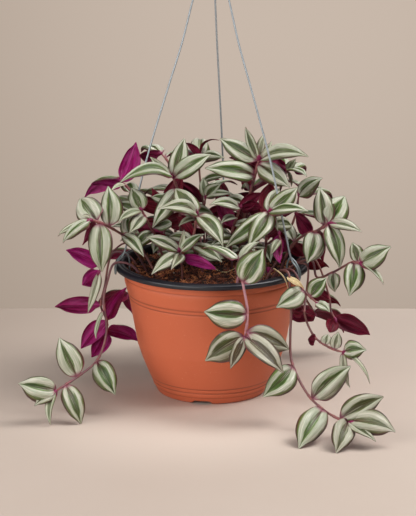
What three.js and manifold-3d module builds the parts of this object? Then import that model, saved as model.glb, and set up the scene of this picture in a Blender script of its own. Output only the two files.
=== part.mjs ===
// A potted tradescantia in a plastic hanging-basket pot, standing on a table.
// Millimetres, +Z up, the origin at the middle of the pot's flat underside.
// The pot, the soil, the three hanger wires, the crimp sleeve, the hook and every shoot
// are separate pieces. The leaves along the four trailing stems are pieces of their own.

import * as THREE from "three";
import { mergeVertices } from "three/addons/utils/BufferGeometryUtils.js";
import Module from "manifold-3d";

const wasm = await Module();
wasm.setup();

// ---- driving dimensions ------------------------------------------------------------

const CLEARANCE = 0.3;

const POT_HEIGHT = 137;
const POT_SIDES = 36;
const FOOT_RADIUS = 54.5;
const WALL = 1.4;
const FLOOR = 2;
// Outer wall of the pot from the foot to the rim, [radius, height].
const POT_WALL = [
  [FOOT_RADIUS, 0], [58, 3], [62.2, 13.5], [63.6, 14.5], [66.2, 20.5], [72, 36], [77, 51],
  [80.5, 71], [84, 91], [86.4, 103.5], [87.3, 104.8], [90.2, 118],
];
// The smooth inner wall, and the soil against it, only turn at these heights.
const INNER_HEIGHTS = [3, 13.5, 36, 71, 103.5, 118];

// The rim is rolled outwards and down, with a chamfer where it turns.
const RIM_RADIUS = 100;
const RIM_INNER_RADIUS = 90.2;
const RIM_BAND = 4.6;
const RIM_TOP_THICKNESS = 3.4;
const RIM_CHAMFER = 1.8;

// The drain channels under the foot are trapezoids in section, each with one hole.
const DRAIN_COUNT = 4;
const DRAIN_AZIMUTH = 259.3;
const DRAIN_HEIGHT = 3.5;
const DRAIN_WIDTH_TOP = 16;
const DRAIN_WIDTH_BOTTOM = 21;
const DRAIN_INNER_RADIUS = 40;
const DRAIN_OUTER_RADIUS = 82;
const DRAIN_HOLE_RADIUS = 3.5;
const DRAIN_HOLE_SIDES = 12;

const SOIL_CLEARANCE = 0.4;
const SOIL_EDGE_HEIGHT = 123.5;
const SOIL_MOUND = 6;
// The mound from the edge to the middle, as parts of the edge's radius and of its height.
const SOIL_SURFACE = [[1, 0], [0.9, 0.4], [0.5, 0.85], [0, 1]];
// The soil is bored for this many of the first points of each stem's path.
const ROOTED_POINTS = 3;

const HANGER_SECTION_SIDES = 16;

const WIRE_RADIUS = 0.95;
const WIRE_SIDES = 5;
const WIRE_STEPS = 10;
const CLIP_STEPS = 20;
// Each wire's azimuth, and the side to which its clip turns.
const WIRES = {
  wire_left: { azimuth: 197, side: -1 },
  wire_right: { azimuth: 328.5, side: 1 },
  wire_back: { azimuth: 81, side: 1 },
};
const WIRE_BUNDLE_RADIUS = 2.4;

// The straight end of a wire in the sleeve, [distance out, height, sideways].
const WIRE_END = [[WIRE_BUNDLE_RADIUS, 476, 0], [WIRE_BUNDLE_RADIUS, 455, 0]];
// The wire's way down from there to its clip.
const WIRE_ROUTE = [
  [WIRE_BUNDLE_RADIUS, 457, 0], [WIRE_BUNDLE_RADIUS, 454, 0], [5.5, 443, 0], [16, 420, 0],
  [31.6, 364, 0], [45.8, 321, 0], [69.6, 246, 0], [88, 172, 0], [93, 153, 0],
];
// The hairpin clip over the rim, on from the end of the wire's route.
const CLIP_ROUTE = [
  [92, 157, 0], [93.1, 153, 0], [95.6, 148, 0], [100, 143.4, 0], [102.1, 138.5, 0], [102.2, 132.6, 0.2],
  [102.2, 130.4, 1.8], [102.2, 132.6, 3.4], [101.9, 138.5, 3.6], [96.4, 148, 3.6],
  [91, 151.4, 3.6], [87.4, 146, 3.6], [86.8, 138, 3.6], [86.8, 130, 3.6],
];

const SLEEVE_INNER_RADIUS = 3.65;
const SLEEVE_OUTER_RADIUS = 4.6;
const SLEEVE_BOTTOM = 460;
const SLEEVE_TOP = 478;

const HOOK_WIRE_RADIUS = 1.2;
const HOOK_SIDES = 6;
const HOOK_STEPS = 26;
// The hook's route in the XZ plane, [x, height].
const HOOK_ROUTE = [
  [0, 459], [0, 478], [0, 492], [-3, 500], [-10, 506], [-12, 515], [-8, 524],
  [0, 528], [8, 524], [12, 515], [10.5, 507],
];

const STEM_SIDES = 5;
const STEM_STEPS = 2;
// A leaf grows out of its stem from this far behind the stem's centre line.
const LEAF_ROOT = 1;
// The last leaves sit this much of a path step below the stem's end.
const TIP_INSET = 0.12;
const LEAF_ROWS = 4;
const LEAF_THICKNESS = 1;
const LEAF_FOLD = 0.3;
// The half width along a leaf is t^ROUND_BASE * (1 - t)^SHARP_TIP, scaled to reach 1.
const ROUND_BASE = 0.6;
const SHARP_TIP = 0.85;

const LOOKS = {
  terracotta: { color: 0xb65a3a, roughness: 0.6, metalness: 0 },
  soil: { color: 0x4a3024, roughness: 1, metalness: 0 },
  steel: { color: 0x9aa0a4, roughness: 0.45, metalness: 0.9 },
  leaf: { color: 0x93a585, roughness: 0.5, metalness: 0 },
};

// ---- plant layout ------------------------------------------------------------------

// Every shoot is a stem along its path and the leaves on it. The path goes from its foot
// in the soil to the growing tip. Each leaf is [place in the path's list, tip, width,
// the way the upper side faces, bow as a part of the length]. Leaves placed before
// "split" are pieces of their own.
const SHOOTS = [
  {
    name: "left_trail", split: 8.5, radius: 1.5,
    path: [
      [-66, -26, 118], [-82, -30, 140], [-99, -34, 143], [-106, -38, 126], [-110, -42, 107],
      [-107, -52, 77], [-115, -70, 53], [-135, -94, 41], [-146, -103, 36], [-156, -110, 31],
    ],
    leaves: [
      [6.1, [-97, -92, 22], 24, [0.1, -1, 0.4], 0.12],
      [7, [-153, -88, 80], 25, [-0.2, -1, 0.3], 0.05],
      [8, [-130, -121, 0], 21, [0.2, -1, 0.3], 0.15],
      [9, [-192, -118, 42], 27, [0, -0.9, 0.6], 0.1],
      [9, [-176, -124, 21], 13, [0, -0.7, 0.7], 0.1],
      [9, [-160, -127, 1], 11, [-0.5, -0.8, 0.3], 0.15],
      [4.35, [-118, -66, 73], 8, [-0.7, -0.7, 0], 0.05],
    ],
  },
  {
    name: "left_hang", radius: 1.4,
    path: [
      [-72, 8, 118], [-86, 10, 140], [-102, 14, 142], [-112, 16, 104], [-116, 18, 84],
      [-110, 22, 67], [-110, 26, 54],
    ],
    leaves: [
      [4, [-164, 10, 86], 20, [0, 1, 0], 0.08],
      [5, [-137, 8, 40], 18, [0.2, 1, 0], 0.08],
      [6, [-126, 10, 30], 17, [-0.1, 1, 0], 0.08],
      [5, [-91, 46, 96], 18, [0, 1, 0.2], 0.05],
      [6, [-79, 52, 36], 20, [0, 1, 0.1], 0.05],
    ],
  },
  {
    name: "left_purple", radius: 1.2,
    path: [[-60, -16, 118], [-87, -18, 160], [-102, -30, 153], [-109, -40, 146], [-114, -48, 138]],
    leaves: [
      [3.4, [-147, -52, 162], 15, [0, 1, 0.1], 0.08],
      [4, [-131, -60, 127], 18, [0.3, 1, 0.2], 0.05],
      [4, [-126, -60, 98], 10, [-0.3, -1, 0.2], 0.08],
    ],
  },
  {
    name: "left_shoulder", radius: 1.6,
    path: [
      [-50, -32, 118], [-77, -36, 167], [-86, -44, 173], [-103, -58, 187], [-114, -66, 194],
      [-120, -70, 197],
    ],
    leaves: [
      [4, [-132, -46, 214], 28, [-0.1, -1, 0.5], 0.08],
      [3, [-104, -50, 227], 23, [0, -1, 0.2], 0.05],
      [3.8, [-110, -80, 146], 26, [-0.1, -1, 0.3], 0.12],
      [5, [-148, -86, 178], 15, [0, -0.3, 1], 0.1],
      [5, [-154, -74, 182], 10, [0, -0.3, 1], 0.08],
      [5, [-131, -66, 198], 8, [0, -1, 0.3], 0.1],
      [4.5, [-129, -60, 169], 9, [0.3, 1, 0], 0.1],
      [2.3, [-68, -66, 158], 15, [0.2, -1, 0.5], 0.15],
      [1.4, [-85, -30, 194], 16, [-0.2, -0.8, 0.8], 0.12],
      [0.8, [-48, -12, 168], 15, [0.2, 1, 0.4], 0.12],
    ],
  },
  {
    name: "mid_left", radius: 1.5,
    path: [[-42, -14, 118], [-57, -26, 168], [-65, -36, 187], [-71, -42, 201]],
    leaves: [
      [3, [-81, -36, 222], 20, [-0.1, -1, 0.5], 0.08],
      [3, [-94, -60, 193], 11, [0, -0.5, 1], 0.15],
      [2.5, [-82, -62, 182], 14, [0.3, -1, 0.4], 0.12],
      [3, [-98, -40, 207], 14, [-0.2, -1, 0.6], 0.1],
      [1.5, [-41, -12, 181], 16, [0.2, -0.8, 0.8], 0.12],
      [1.3, [-79, -46, 160], 14, [-0.2, -1, 0.4], 0.12],
      [0.8, [-40, -48, 166], 16, [0, -0.8, 0.8], 0.14],
    ],
  },
  {
    name: "upper_left", radius: 1.6,
    path: [[-22, 4, 118], [-32, 2, 167], [-33, -4, 197], [-35, -8, 214], [-40, -14, 229]],
    leaves: [
      [4, [-92, -46, 231], 22, [0, -0.6, 1], 0.22],
      [4, [-28, 8, 264], 20, [-0.2, -1, 0], 0.05],
      [4, [-1, -14, 252], 22, [0.1, -0.9, 0.6], 0.12],
      [4, [-63, -2, 247], 9, [-0.3, -1, 0.5], 0.1],
      [3, [-60, -38, 183], 19, [-0.1, -1, 0.5], 0.12],
      [2, [-63, 11, 202], 18, [-0.1, -0.8, 0.8], 0.12],
      [1.6, [2, 12, 184], 18, [0.2, -0.6, 1], 0.15],
      [0.6, [-8, -14, 150], 14, [0.2, -0.8, 0.8], 0.12],
    ],
  },
  {
    name: "back_upper_left", radius: 1.4,
    path: [[-26, 34, 118], [-32, 44, 165], [-44, 48, 228], [-53, 50, 240]],
    leaves: [
      [3, [-76, 40, 240], 16, [-0.1, 1, 0.3], 0.1],
      [3, [-75, 88, 235], 20, [-0.3, 0.4, 1], 0.12],
      [2.5, [-14, 92, 222], 20, [0, 0.6, 1], 0.15],
      [1.5, [-74, 72, 188], 20, [-0.3, 0.3, 1], 0.15],
      [1, [-18, 84, 176], 20, [0, 0.6, 1], 0.15],
      [0.6, [-10, 28, 160], 16, [0.2, -0.6, 0.9], 0.12],
      [1, [-54, 26, 178], 15, [-0.2, 1, 0.4], 0.12],
    ],
  },
  {
    name: "back_upper_mid", radius: 1.4,
    path: [[-4, 28, 118], [-6, 34, 165], [-13, 38, 225], [-12, 40, 239]],
    leaves: [
      [3, [13, 20, 241], 14, [0, -0.6, 1], 0.15],
      [3, [7, 44, 256], 10, [-0.4, 0.3, 1], 0.25],
      [3, [-27, 36, 254], 9, [0.3, 1, 0.3], 0.15],
      [3, [-12, 86, 246], 20, [0, 0.6, 1], 0.15],
      [1.3, [-40, 66, 182], 18, [-0.2, 0.3, 1], 0.15],
      [1.7, [16, 20, 222], 16, [0.1, -0.6, 0.9], 0.12],
      [1.4, [-36, 30, 214], 15, [-0.2, 1, 0.4], 0.12],
    ],
  },
  {
    name: "left_back_high", radius: 1.4,
    path: [[-48, 28, 118], [-60, 32, 150], [-74, 34, 185], [-86, 34, 205], [-94, 32, 214]],
    leaves: [
      [4, [-79, 50, 252], 20, [0.2, 1, -0.1], 0.06],
      [4, [-125, 15, 214], 17, [0, 0.9, 0.45], 0.14],
      [4, [-134, 55, 193], 18, [0, 0.5, 1], 0.12],
      [3.5, [-104, 10, 209], 8, [0, -0.6, 0.8], 0.1],
      [2.5, [-92, 76, 198], 20, [-0.3, 0.5, 1], 0.15],
      [2, [-114, 62, 181], 18, [-0.2, -0.5, 1], 0.15],
      [1.2, [-107, 50, 162], 18, [-0.3, -0.4, 1], 0.15],
      [0.6, [-34, 12, 148], 14, [0.2, -0.8, 0.8], 0.12],
    ],
  },
  {
    name: "centre_rosette", radius: 1.5,
    path: [[-2, -34, 118], [-19, -38, 163], [-17, -42, 182], [-15, -46, 197]],
    leaves: [
      [3, [-37, -24, 219], 26, [0.2, -1, 0.6], 0.08],
      [3, [-53, -70, 209], 20, [-0.1, -0.8, 0.8], 0.22],
      [2.6, [-33, -66, 190], 10, [-0.1, -0.8, 0.8], 0.1],
      [3, [11, -75, 172], 20, [0.3, -1, 0.5], 0.14],
      [1.2, [-45, -22, 167], 16, [-0.2, -0.8, 0.8], 0.12],
      [1, [10, -60, 152], 16, [0.2, -0.9, 0.7], 0.12],
      [2, [10, -28, 186], 16, [0.2, -0.7, 0.9], 0.12],
      [0.7, [12, -34, 148], 15, [0.2, -0.8, 0.9], 0.12],
      [1.2, [-36, -16, 188], 14, [0, 1, 0.4], 0.12],
    ],
  },
  {
    name: "middle", radius: 1.4,
    path: [[22, -6, 118], [20, -8, 166], [25, -12, 185], [29, -16, 197]],
    leaves: [
      [3, [-2, -34, 205], 18, [0, -0.5, 1], 0.12],
      [3, [51, -4, 210], 14, [0.2, 1, 0.3], 0.1],
      [3, [51, -6, 195], 14, [0.1, 1, 0.3], 0.1],
      [2, [9, -34, 185], 11, [0, -0.7, 0.8], 0.12],
      [1.5, [51, -22, 177], 18, [0.2, -0.7, 0.9], 0.12],
      [1, [-6, -30, 168], 16, [-0.2, -0.8, 0.8], 0.12],
      [0.8, [-2, -30, 160], 16, [-0.2, -0.7, 0.9], 0.14],
      [1.4, [6, 2, 206], 15, [-0.2, 1, 0.4], 0.1],
    ],
  },
  {
    name: "middle_back", radius: 1.3,
    path: [[-6, 10, 118], [-8, 12, 160], [-8, 12, 192], [-6, 10, 203]],
    leaves: [
      [3, [9, 2, 218], 14, [-0.2, -1, 0.5], 0.1],
      [3, [-9, 14, 222], 11, [-0.3, -1, 0.2], 0.1],
      [3, [22, -6, 209], 13, [0.1, -0.7, 0.9], 0.12],
      [2.5, [26, 52, 208], 18, [0, 0.6, 1], 0.15],
      [1.5, [-35, 32, 178], 18, [-0.2, -0.6, 1], 0.15],
      [1, [-24, -18, 176], 18, [-0.3, 1, 0.5], 0.12],
      [0.8, [12, -14, 150], 15, [0.2, -0.8, 0.9], 0.14],
      [1.5, [20, 26, 188], 15, [0.3, 1, 0.4], 0.12],
    ],
  },
  {
    name: "right_top", radius: 1.7,
    path: [[30, 8, 118], [32, 10, 165], [35, 6, 195], [40, 3, 211], [44, 0, 227], [48, -3, 245]],
    leaves: [
      [4, [-7, -20, 239], 26, [-0.1, -1, 0.6], 0.08],
      [5, [8, 12, 263], 22, [-0.2, -1, 0.6], 0.06],
      [5, [97, -20, 252], 22, [0.1, -0.8, 0.8], 0.14],
      [4.5, [19, 25, 241], 16, [0, 1, 0.3], 0.08],
      [5, [34, 4, 277], 13, [-0.4, -1, 0.2], 0.06],
      [5, [54, 6, 270], 9, [0.2, -1, 0.3], 0.06],
      [5, [61, 0, 263], 8, [0.3, -1, 0.4], 0.08],
      [4.7, [79, -24, 220], 22, [0.3, -1, 0.4], 0.12],
      [2, [13, 26, 195], 18, [0, -0.6, 1], 0.12],
      [0.6, [44, -18, 152], 15, [0.2, -0.8, 0.8], 0.12],
    ],
  },
  {
    name: "back_right", radius: 1.4,
    path: [[52, 34, 118], [60, 42, 165], [74, 46, 210], [79, 44, 224]],
    leaves: [
      [3, [58, 38, 231], 13, [-0.1, 1, 0.3], 0.1],
      [3, [87, 40, 236], 9, [0.1, -1, 0.5], 0.08],
      [3, [98, 22, 223], 16, [0.1, 0, 1], 0.1],
      [3, [83, 38, 207], 6, [0.6, -0.8, 0], 0.08],
      [2.5, [25, 50, 232], 16, [0, 1, 0.4], 0.12],
      [3, [100, 84, 214], 20, [0.3, 0.5, 1], 0.15],
      [2.6, [58, 96, 226], 20, [0, 0.6, 1], 0.15],
      [1.3, [53, 62, 186], 18, [0, -0.4, 1], 0.15],
      [2, [104, 62, 192], 18, [0.3, -0.2, 1], 0.15],
    ],
  },
  {
    name: "centre_right", radius: 1.6,
    path: [[52, -28, 118], [55, -32, 167], [57, -38, 184], [58, -44, 200]],
    leaves: [
      [3, [86, -38, 223], 20, [0.1, -1, 0.6], 0.08],
      [2.7, [68, -22, 219], 18, [-0.1, -1, 0.6], 0.06],
      [3, [94, -72, 208], 20, [0.1, -0.8, 0.8], 0.12],
      [3, [66, -62, 184], 8, [0.2, -1, 0.3], 0.08],
      [3, [36, -74, 169], 24, [-0.2, -1, 0.3], 0.12],
      [2.9, [13, -56, 166], 18, [-0.2, -1, 0.5], 0.1],
      [2, [82, -22, 179], 18, [0.3, -0.8, 0.8], 0.12],
      [0.8, [30, -44, 160], 16, [-0.2, -0.8, 0.8], 0.12],
      [1.2, [76, -24, 184], 15, [0.3, 1, 0.4], 0.12],
    ],
  },
  {
    name: "right_shoulder", radius: 1.6,
    path: [[66, -12, 118], [81, -16, 156], [93, -22, 169], [107, -28, 176], [119, -32, 185]],
    leaves: [
      [3.6, [109, -20, 219], 22, [-0.1, -1, 0.4], 0.05],
      [4, [135, -18, 210], 29, [0.1, -1, 0.6], 0.06],
      [4, [151, -46, 179], 13, [0.1, -0.8, 0.6], 0.1],
      [3.9, [129, -52, 143], 24, [0.3, -1, 0.2], 0.1],
      [2.8, [96, -46, 146], 24, [-0.1, -1, 0.3], 0.08],
      [2.5, [85, 0, 188], 18, [0, 1, 0.2], 0.08],
      [3, [114, -12, 139], 12, [0.1, 1, 0.2], 0.08],
      [1.3, [66, 4, 182], 16, [0, -0.8, 0.8], 0.12],
      [1.1, [96, -2, 141], 18, [0.1, 1, 0.3], 0.1],
      [0.8, [62, -6, 166], 15, [0, 1, 0.5], 0.12],
    ],
  },
  {
    name: "right_back_shoulder", radius: 1.4,
    path: [[62, 14, 118], [74, 16, 150], [86, 18, 180], [90, 20, 203]],
    leaves: [
      [3, [113, 8, 223], 16, [0, -0.8, 1], 0.1],
      [3, [128, 58, 190], 20, [0.4, 0.2, 1], 0.15],
      [2, [130, 40, 160], 20, [0.4, 0, 1], 0.15],
      [3, [108, 44, 212], 16, [0.2, -0.2, 1], 0.12],
      [1, [112, 42, 132], 20, [0.5, 0.2, 1], 0.15],
      [0.7, [96, 2, 168], 16, [0.3, -0.7, 0.8], 0.12],
    ],
  },
  {
    name: "far_right", radius: 1.5,
    path: [
      [72, -26, 118], [86, -24, 140], [102, -24, 143], [107, -32, 128], [123, -42, 136],
      [141, -54, 149], [150, -60, 150],
    ],
    leaves: [
      [6, [178, -70, 170], 25, [0.1, -0.9, 0.7], 0.08],
      [6, [171, -82, 133], 12, [0.6, -0.7, 0.4], 0.12],
      [5.2, [137, -78, 121], 22, [-0.1, -1, 0.3], 0.08],
      [5.6, [141, -50, 169], 14, [-0.2, -1, 0.3], 0.08],
      [4, [124, -52, 118], 15, [-0.5, -0.9, 0.2], 0.05],
    ],
  },
  {
    name: "right_trail", split: 9.1, radius: 1.6,
    path: [
      [54, -46, 118], [66, -57, 140], [76, -70, 143], [78, -77, 125], [79, -84, 106],
      [78, -92, 81], [79, -104, 62], [91, -132, 40], [103, -150, 30], [121, -166, 22],
      [134, -172, 20],
    ],
    leaves: [
      [6.2, [50, -128, 31], 26, [-0.2, -1, 0.3], 0.12],
      [7.6, [136, -132, 65], 25, [-0.2, -1, 0.5], 0.06],
      [8.3, [83, -194, 0], 27, [-0.1, -1, 0.4], 0.12],
      [9.8, [118, -208, 0], 25, [0.1, -1, 0.4], 0.12],
      [9.2, [167, -160, 42], 24, [-0.1, -1, 0.5], 0.08],
      [10, [176, -192, 17], 27, [0, -0.8, 0.8], 0.12],
      [10, [157, -200, 10], 14, [0.2, -0.8, 0.7], 0.08],
    ],
  },
  {
    name: "front_trail", split: 6.5, radius: 1.6,
    path: [
      [24, -62, 118], [27, -74, 146], [28, -88, 158], [30, -103, 143], [34, -106, 121],
      [35, -107, 110], [34, -108, 97], [32, -109, 87],
    ],
    leaves: [
      [3.1, [50, -106, 176], 26, [0, -1, 0.3], 0.06],
      [5, [-8, -112, 114], 26, [0, -1, 0.2], 0.05],
      [7, [-7, -120, 66], 24, [-0.1, -1, 0.4], 0.1],
      [6.4, [77, -104, 73], 22, [0.1, -0.9, 0.7], 0.12],
      [7, [70, -136, 59], 22, [0.1, -1, 0.6], 0.1],
      [7, [18, -128, 60], 13, [0, -1, 0.4], 0.08],
      [1.7, [-10, -80, 172], 18, [0, 0.1, 1], 0.08],
      [1.8, [49, -76, 176], 16, [-0.6, -0.1, 0.9], 0.1],
    ],
  },
  {
    name: "low_rosette", radius: 1.3,
    path: [[-30, -48, 118], [-30, -50, 140], [-33, -54, 162]],
    leaves: [
      [2, [-66, -56, 176], 16, [-0.1, -0.7, 1], 0.12],
      [2, [-28, -50, 182], 7, [-0.2, -1, 0.2], 0.05],
      [2, [-8, -54, 179], 16, [0.1, -0.7, 1], 0.12],
      [1.8, [-60, -82, 145], 16, [-0.3, -1, 0.6], 0.12],
      [1.8, [-40, -84, 151], 12, [0.1, -0.9, 0.6], 0.1],
      [1.6, [4, -72, 146], 13, [0.1, 1, 0.2], 0.1],
    ],
  },
  {
    name: "right_hang_a", radius: 1.4,
    path: [
      [60, -36, 118], [70, -52, 140], [82, -66, 143], [91, -74, 126], [98, -78, 120],
      [105, -82, 114],
    ],
    leaves: [
      [3, [64, -94, 114], 22, [-0.2, -1, 0.3], 0.08],
      [4, [114, -80, 140], 18, [-0.2, -1, 0.3], 0.08],
      [5, [117, -92, 108], 14, [0, -0.6, 0.9], 0.15],
    ],
  },
  {
    name: "right_hang_b", radius: 1.3,
    path: [
      [78, -6, 118], [90, -4, 140], [104, -6, 142], [121, -20, 101], [122, -26, 91],
      [126, -32, 84],
    ],
    leaves: [
      [3, [102, -34, 117], 12, [0, 1, 0], 0.08],
      [5, [162, -44, 71], 17, [0.1, 1, 0.1], 0.1],
      [5, [120, -46, 73], 13, [0.3, 1, 0.1], 0.1],
    ],
  },
  {
    name: "right_hang_c", radius: 1.4,
    path: [
      [74, -28, 118], [82, -33, 140], [96, -40, 143], [95, -54, 114], [93, -68, 101],
      [97, -74, 88], [105, -82, 77], [122, -92, 69], [132, -98, 68],
    ],
    leaves: [
      [4, [104, -74, 99], 12, [0.3, 1, 0.3], 0.1],
      [4, [81, -72, 103], 12, [0, 1, 0], 0.08],
      [6, [96, -84, 77], 14, [0, 1, 0.2], 0.1],
      [6.5, [116, -84, 83], 12, [-0.3, -1, 0.1], 0.08],
      [7, [126, -90, 87], 12, [-0.3, -1, 0.2], 0.05],
      [8, [153, -106, 73], 18, [0, -0.9, 0.6], 0.2],
      [8, [136, -116, 37], 10, [-0.6, -0.8, 0.3], 0.1],
      [8, [157, -120, 43], 6, [0.5, -0.8, 0.3], 0.15],
    ],
  },
  {
    name: "back_trail", split: 6.5, radius: 1.5,
    path: [
      [-8, 50, 118], [-12, 80, 140], [-14, 102, 143], [-16, 112, 125], [-14, 116, 95],
      [-12, 120, 65], [-4, 128, 38], [10, 140, 20], [24, 152, 10],
    ],
    leaves: [
      [3, [-58, 126, 118], 22, [-0.2, 1, 0.3], 0.1],
      [4, [32, 126, 80], 22, [0.2, 1, 0.3], 0.1],
      [5, [-54, 138, 48], 22, [-0.2, 1, 0.4], 0.12],
      [6, [40, 140, 44], 22, [0.3, 0.8, 0.6], 0.1],
      [7, [-30, 160, 3], 22, [0, 0.6, 1], 0.12],
      [8, [66, 162, 4], 20, [0.2, 0.4, 1], 0.12],
      [8, [34, 192, 3], 20, [0, 0.6, 1], 0.15],
      [1.2, [22, 104, 146], 18, [0.1, 0.6, 1], 0.15],
    ],
  },
  {
    name: "back_left_trail", radius: 1.5,
    path: [
      [-44, 36, 118], [-60, 60, 140], [-72, 74, 143], [-80, 84, 122], [-86, 90, 96], [-90, 94, 74],
    ],
    leaves: [
      [2.4, [-60, 116, 150], 22, [0, 1, 0.6], 0.12],
      [3, [-118, 108, 110], 22, [-0.5, 0.8, 0.4], 0.1],
      [4, [-52, 112, 80], 20, [0.1, 1, 0.3], 0.1],
      [5, [-126, 112, 56], 22, [-0.5, 0.8, 0.4], 0.12],
      [5, [-84, 124, 42], 20, [0, 1, 0.5], 0.12],
      [1.3, [-96, 38, 148], 18, [-0.4, -0.2, 1], 0.15],
    ],
  },
  {
    name: "back_right_trail", radius: 1.5,
    path: [
      [48, 54, 118], [60, 62, 140], [74, 72, 143], [84, 82, 122], [92, 88, 98], [100, 94, 74],
      [112, 102, 52],
    ],
    leaves: [
      [2.4, [66, 116, 150], 22, [0, 1, 0.6], 0.12],
      [3, [126, 84, 108], 22, [0.6, 0.6, 0.5], 0.1],
      [4, [58, 120, 86], 20, [0, 1, 0.3], 0.1],
      [5, [140, 96, 64], 22, [0.5, 0.6, 0.6], 0.1],
      [6, [84, 134, 34], 22, [0, 1, 0.5], 0.12],
      [6, [146, 124, 26], 22, [0.5, 0.6, 0.6], 0.15],
      [1.3, [96, 40, 152], 18, [0.4, 0, 1], 0.15],
    ],
  },
  {
    name: "back_upright", radius: 1.5,
    path: [[32, 50, 118], [36, 58, 160], [41, 64, 200]],
    leaves: [
      [2, [24, 96, 226], 22, [-0.2, 0.8, 0.8], 0.12],
      [1.8, [80, 88, 209], 22, [0.2, 0.8, 0.8], 0.12],
      [2, [44, 110, 184], 22, [0, 1, 0.7], 0.18],
      [1.2, [70, 96, 158], 20, [0.2, 1, 0.6], 0.15],
      [1.45, [32, 106, 151], 18, [0, 1, 0.6], 0.15],
      [0.7, [58, 30, 152], 18, [0.3, -0.7, 0.8], 0.12],
      [1, [14, 48, 178], 14, [-0.2, 1, 0.4], 0.12],
    ],
  },
  {
    name: "back_low_left", radius: 1.4,
    path: [[-32, 58, 118], [-38, 66, 150], [-44, 74, 178]],
    leaves: [
      [2, [-82, 92, 192], 22, [-0.4, 0.6, 1], 0.12],
      [2, [-34, 118, 170], 22, [0, 1, 0.6], 0.18],
      [1.3, [-84, 96, 150], 20, [-0.4, 0.8, 0.7], 0.15],
      [0.8, [-64, 40, 160], 18, [-0.3, -0.7, 0.8], 0.12],
      [1.1, [-18, 48, 168], 14, [0.3, 1, 0.4], 0.12],
    ],
  },
  {
    name: "inner_back_left", radius: 1.4,
    path: [[-50, 4, 118], [-50, 8, 155], [-46, 12, 192]],
    leaves: [
      [2, [-84, 8, 200], 18, [-0.4, 1, 0.3], 0.12],
      [2, [-30, 18, 224], 18, [0.1, 1, 0.2], 0.1],
      [1.5, [-18, 0, 178], 18, [0.2, 1, 0.4], 0.12],
      [1.2, [-80, 20, 166], 18, [-0.2, 1, 0.5], 0.12],
      [1, [-60, -20, 150], 16, [-0.2, -0.8, 0.8], 0.12],
      [0.7, [-30, -18, 146], 16, [0.3, -0.8, 0.8], 0.12],
      [1.6, [-62, 34, 206], 16, [-0.2, 1, 0.5], 0.12],
      [0.9, [-24, 30, 158], 16, [0.3, 0.8, 0.6], 0.12],
    ],
  },
  {
    name: "inner_back_mid", radius: 1.4,
    path: [[10, 30, 118], [10, 34, 150], [14, 38, 184]],
    leaves: [
      [2, [44, 34, 202], 18, [0.2, 1, 0.3], 0.12],
      [2, [4, 62, 212], 18, [0, 1, 0.4], 0.1],
      [1.4, [38, 20, 172], 18, [0.2, 1, 0.5], 0.12],
      [1.2, [-16, 60, 168], 18, [-0.2, 1, 0.5], 0.12],
      [1, [14, 2, 146], 16, [0.1, -0.8, 0.8], 0.12],
      [0.6, [30, 22, 144], 14, [0.3, -0.8, 0.8], 0.12],
    ],
  },
  {
    name: "inner_back_right", radius: 1.4,
    path: [[52, 14, 118], [56, 14, 150], [58, 12, 184]],
    leaves: [
      [2, [88, 0, 196], 18, [0.3, 1, 0.3], 0.12],
      [2, [62, 26, 216], 18, [-0.2, 1, 0.2], 0.1],
      [1.4, [42, -12, 168], 18, [-0.2, 1, 0.5], 0.12],
      [1.2, [78, 36, 170], 18, [0.2, 1, 0.4], 0.12],
      [1, [60, -18, 140], 16, [0.1, -0.8, 0.8], 0.12],
      [1.6, [34, 32, 198], 17, [-0.2, 1, 0.4], 0.12],
    ],
  },
  {
    name: "inner_right", radius: 1.2,
    path: [[48, -62, 118], [56, -66, 138], [69, -62, 164], [67, -58, 181]],
    leaves: [
      [3, [67, -74, 153], 14, [-0.6, 1, 0], 0.1],
      [1.3, [56, -62, 140], 8, [0, 1, 0.3], 0.08],
      [2.6, [59, -72, 161], 9, [-0.2, -0.8, 0.7], 0.2],
    ],
  },
];

// ---- solids ------------------------------------------------------------------------

const WELD_DISTANCE = 1e-4;
// A cutter runs this far past the face that it opens.
const OVERRUN = 1;

const vector = ([x, y, z]) => new THREE.Vector3(x, y, z);
const radians = THREE.MathUtils.degToRad;

function toSolid(geometry) {
  geometry.deleteAttribute("normal");
  geometry.deleteAttribute("uv");
  const merged = mergeVertices(geometry, WELD_DISTANCE);
  return new wasm.Manifold(new wasm.Mesh({
    numProp: 3,
    vertProperties: new Float32Array(merged.attributes.position.array),
    triVerts: new Uint32Array(merged.index.array),
  }));
}

function toGeometry(solid) {
  const mesh = solid.getMesh();
  const geometry = new THREE.BufferGeometry();
  geometry.setAttribute("position", new THREE.BufferAttribute(mesh.vertProperties, 3));
  geometry.setIndex(new THREE.BufferAttribute(mesh.triVerts, 1));
  geometry.computeVertexNormals();
  return geometry;
}

function polygon(radius, sides) {
  const corners = [];
  for (let i = 0; i < sides; i += 1) {
    const angle = (2 * Math.PI * i) / sides;
    corners.push(new THREE.Vector2(radius * Math.cos(angle), radius * Math.sin(angle)));
  }
  return new THREE.Shape(corners);
}

// A round bar along a smooth curve through the points.
function bar(points, radius, sides, steps) {
  const curve = new THREE.CatmullRomCurve3(points);
  const options = { steps, bevelEnabled: false, extrudePath: curve };
  return toSolid(new THREE.ExtrudeGeometry(polygon(radius, sides), options));
}

// A solid of revolution about Z from [radius, height] pairs that start and end on the axis.
function turned(profile) {
  const points = profile.map(([radius, height]) => new THREE.Vector2(radius, height));
  const geometry = new THREE.LatheGeometry(points, POT_SIDES);
  geometry.rotateX(Math.PI / 2);
  return toSolid(geometry);
}

function cylinder(radius, bottom, top, sides) {
  const geometry = new THREE.CylinderGeometry(radius, radius, top - bottom, sides);
  geometry.rotateX(Math.PI / 2);
  geometry.translate(0, 0, (top + bottom) / 2);
  return toSolid(geometry);
}

// ---- pot and soil ------------------------------------------------------------------

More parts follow.
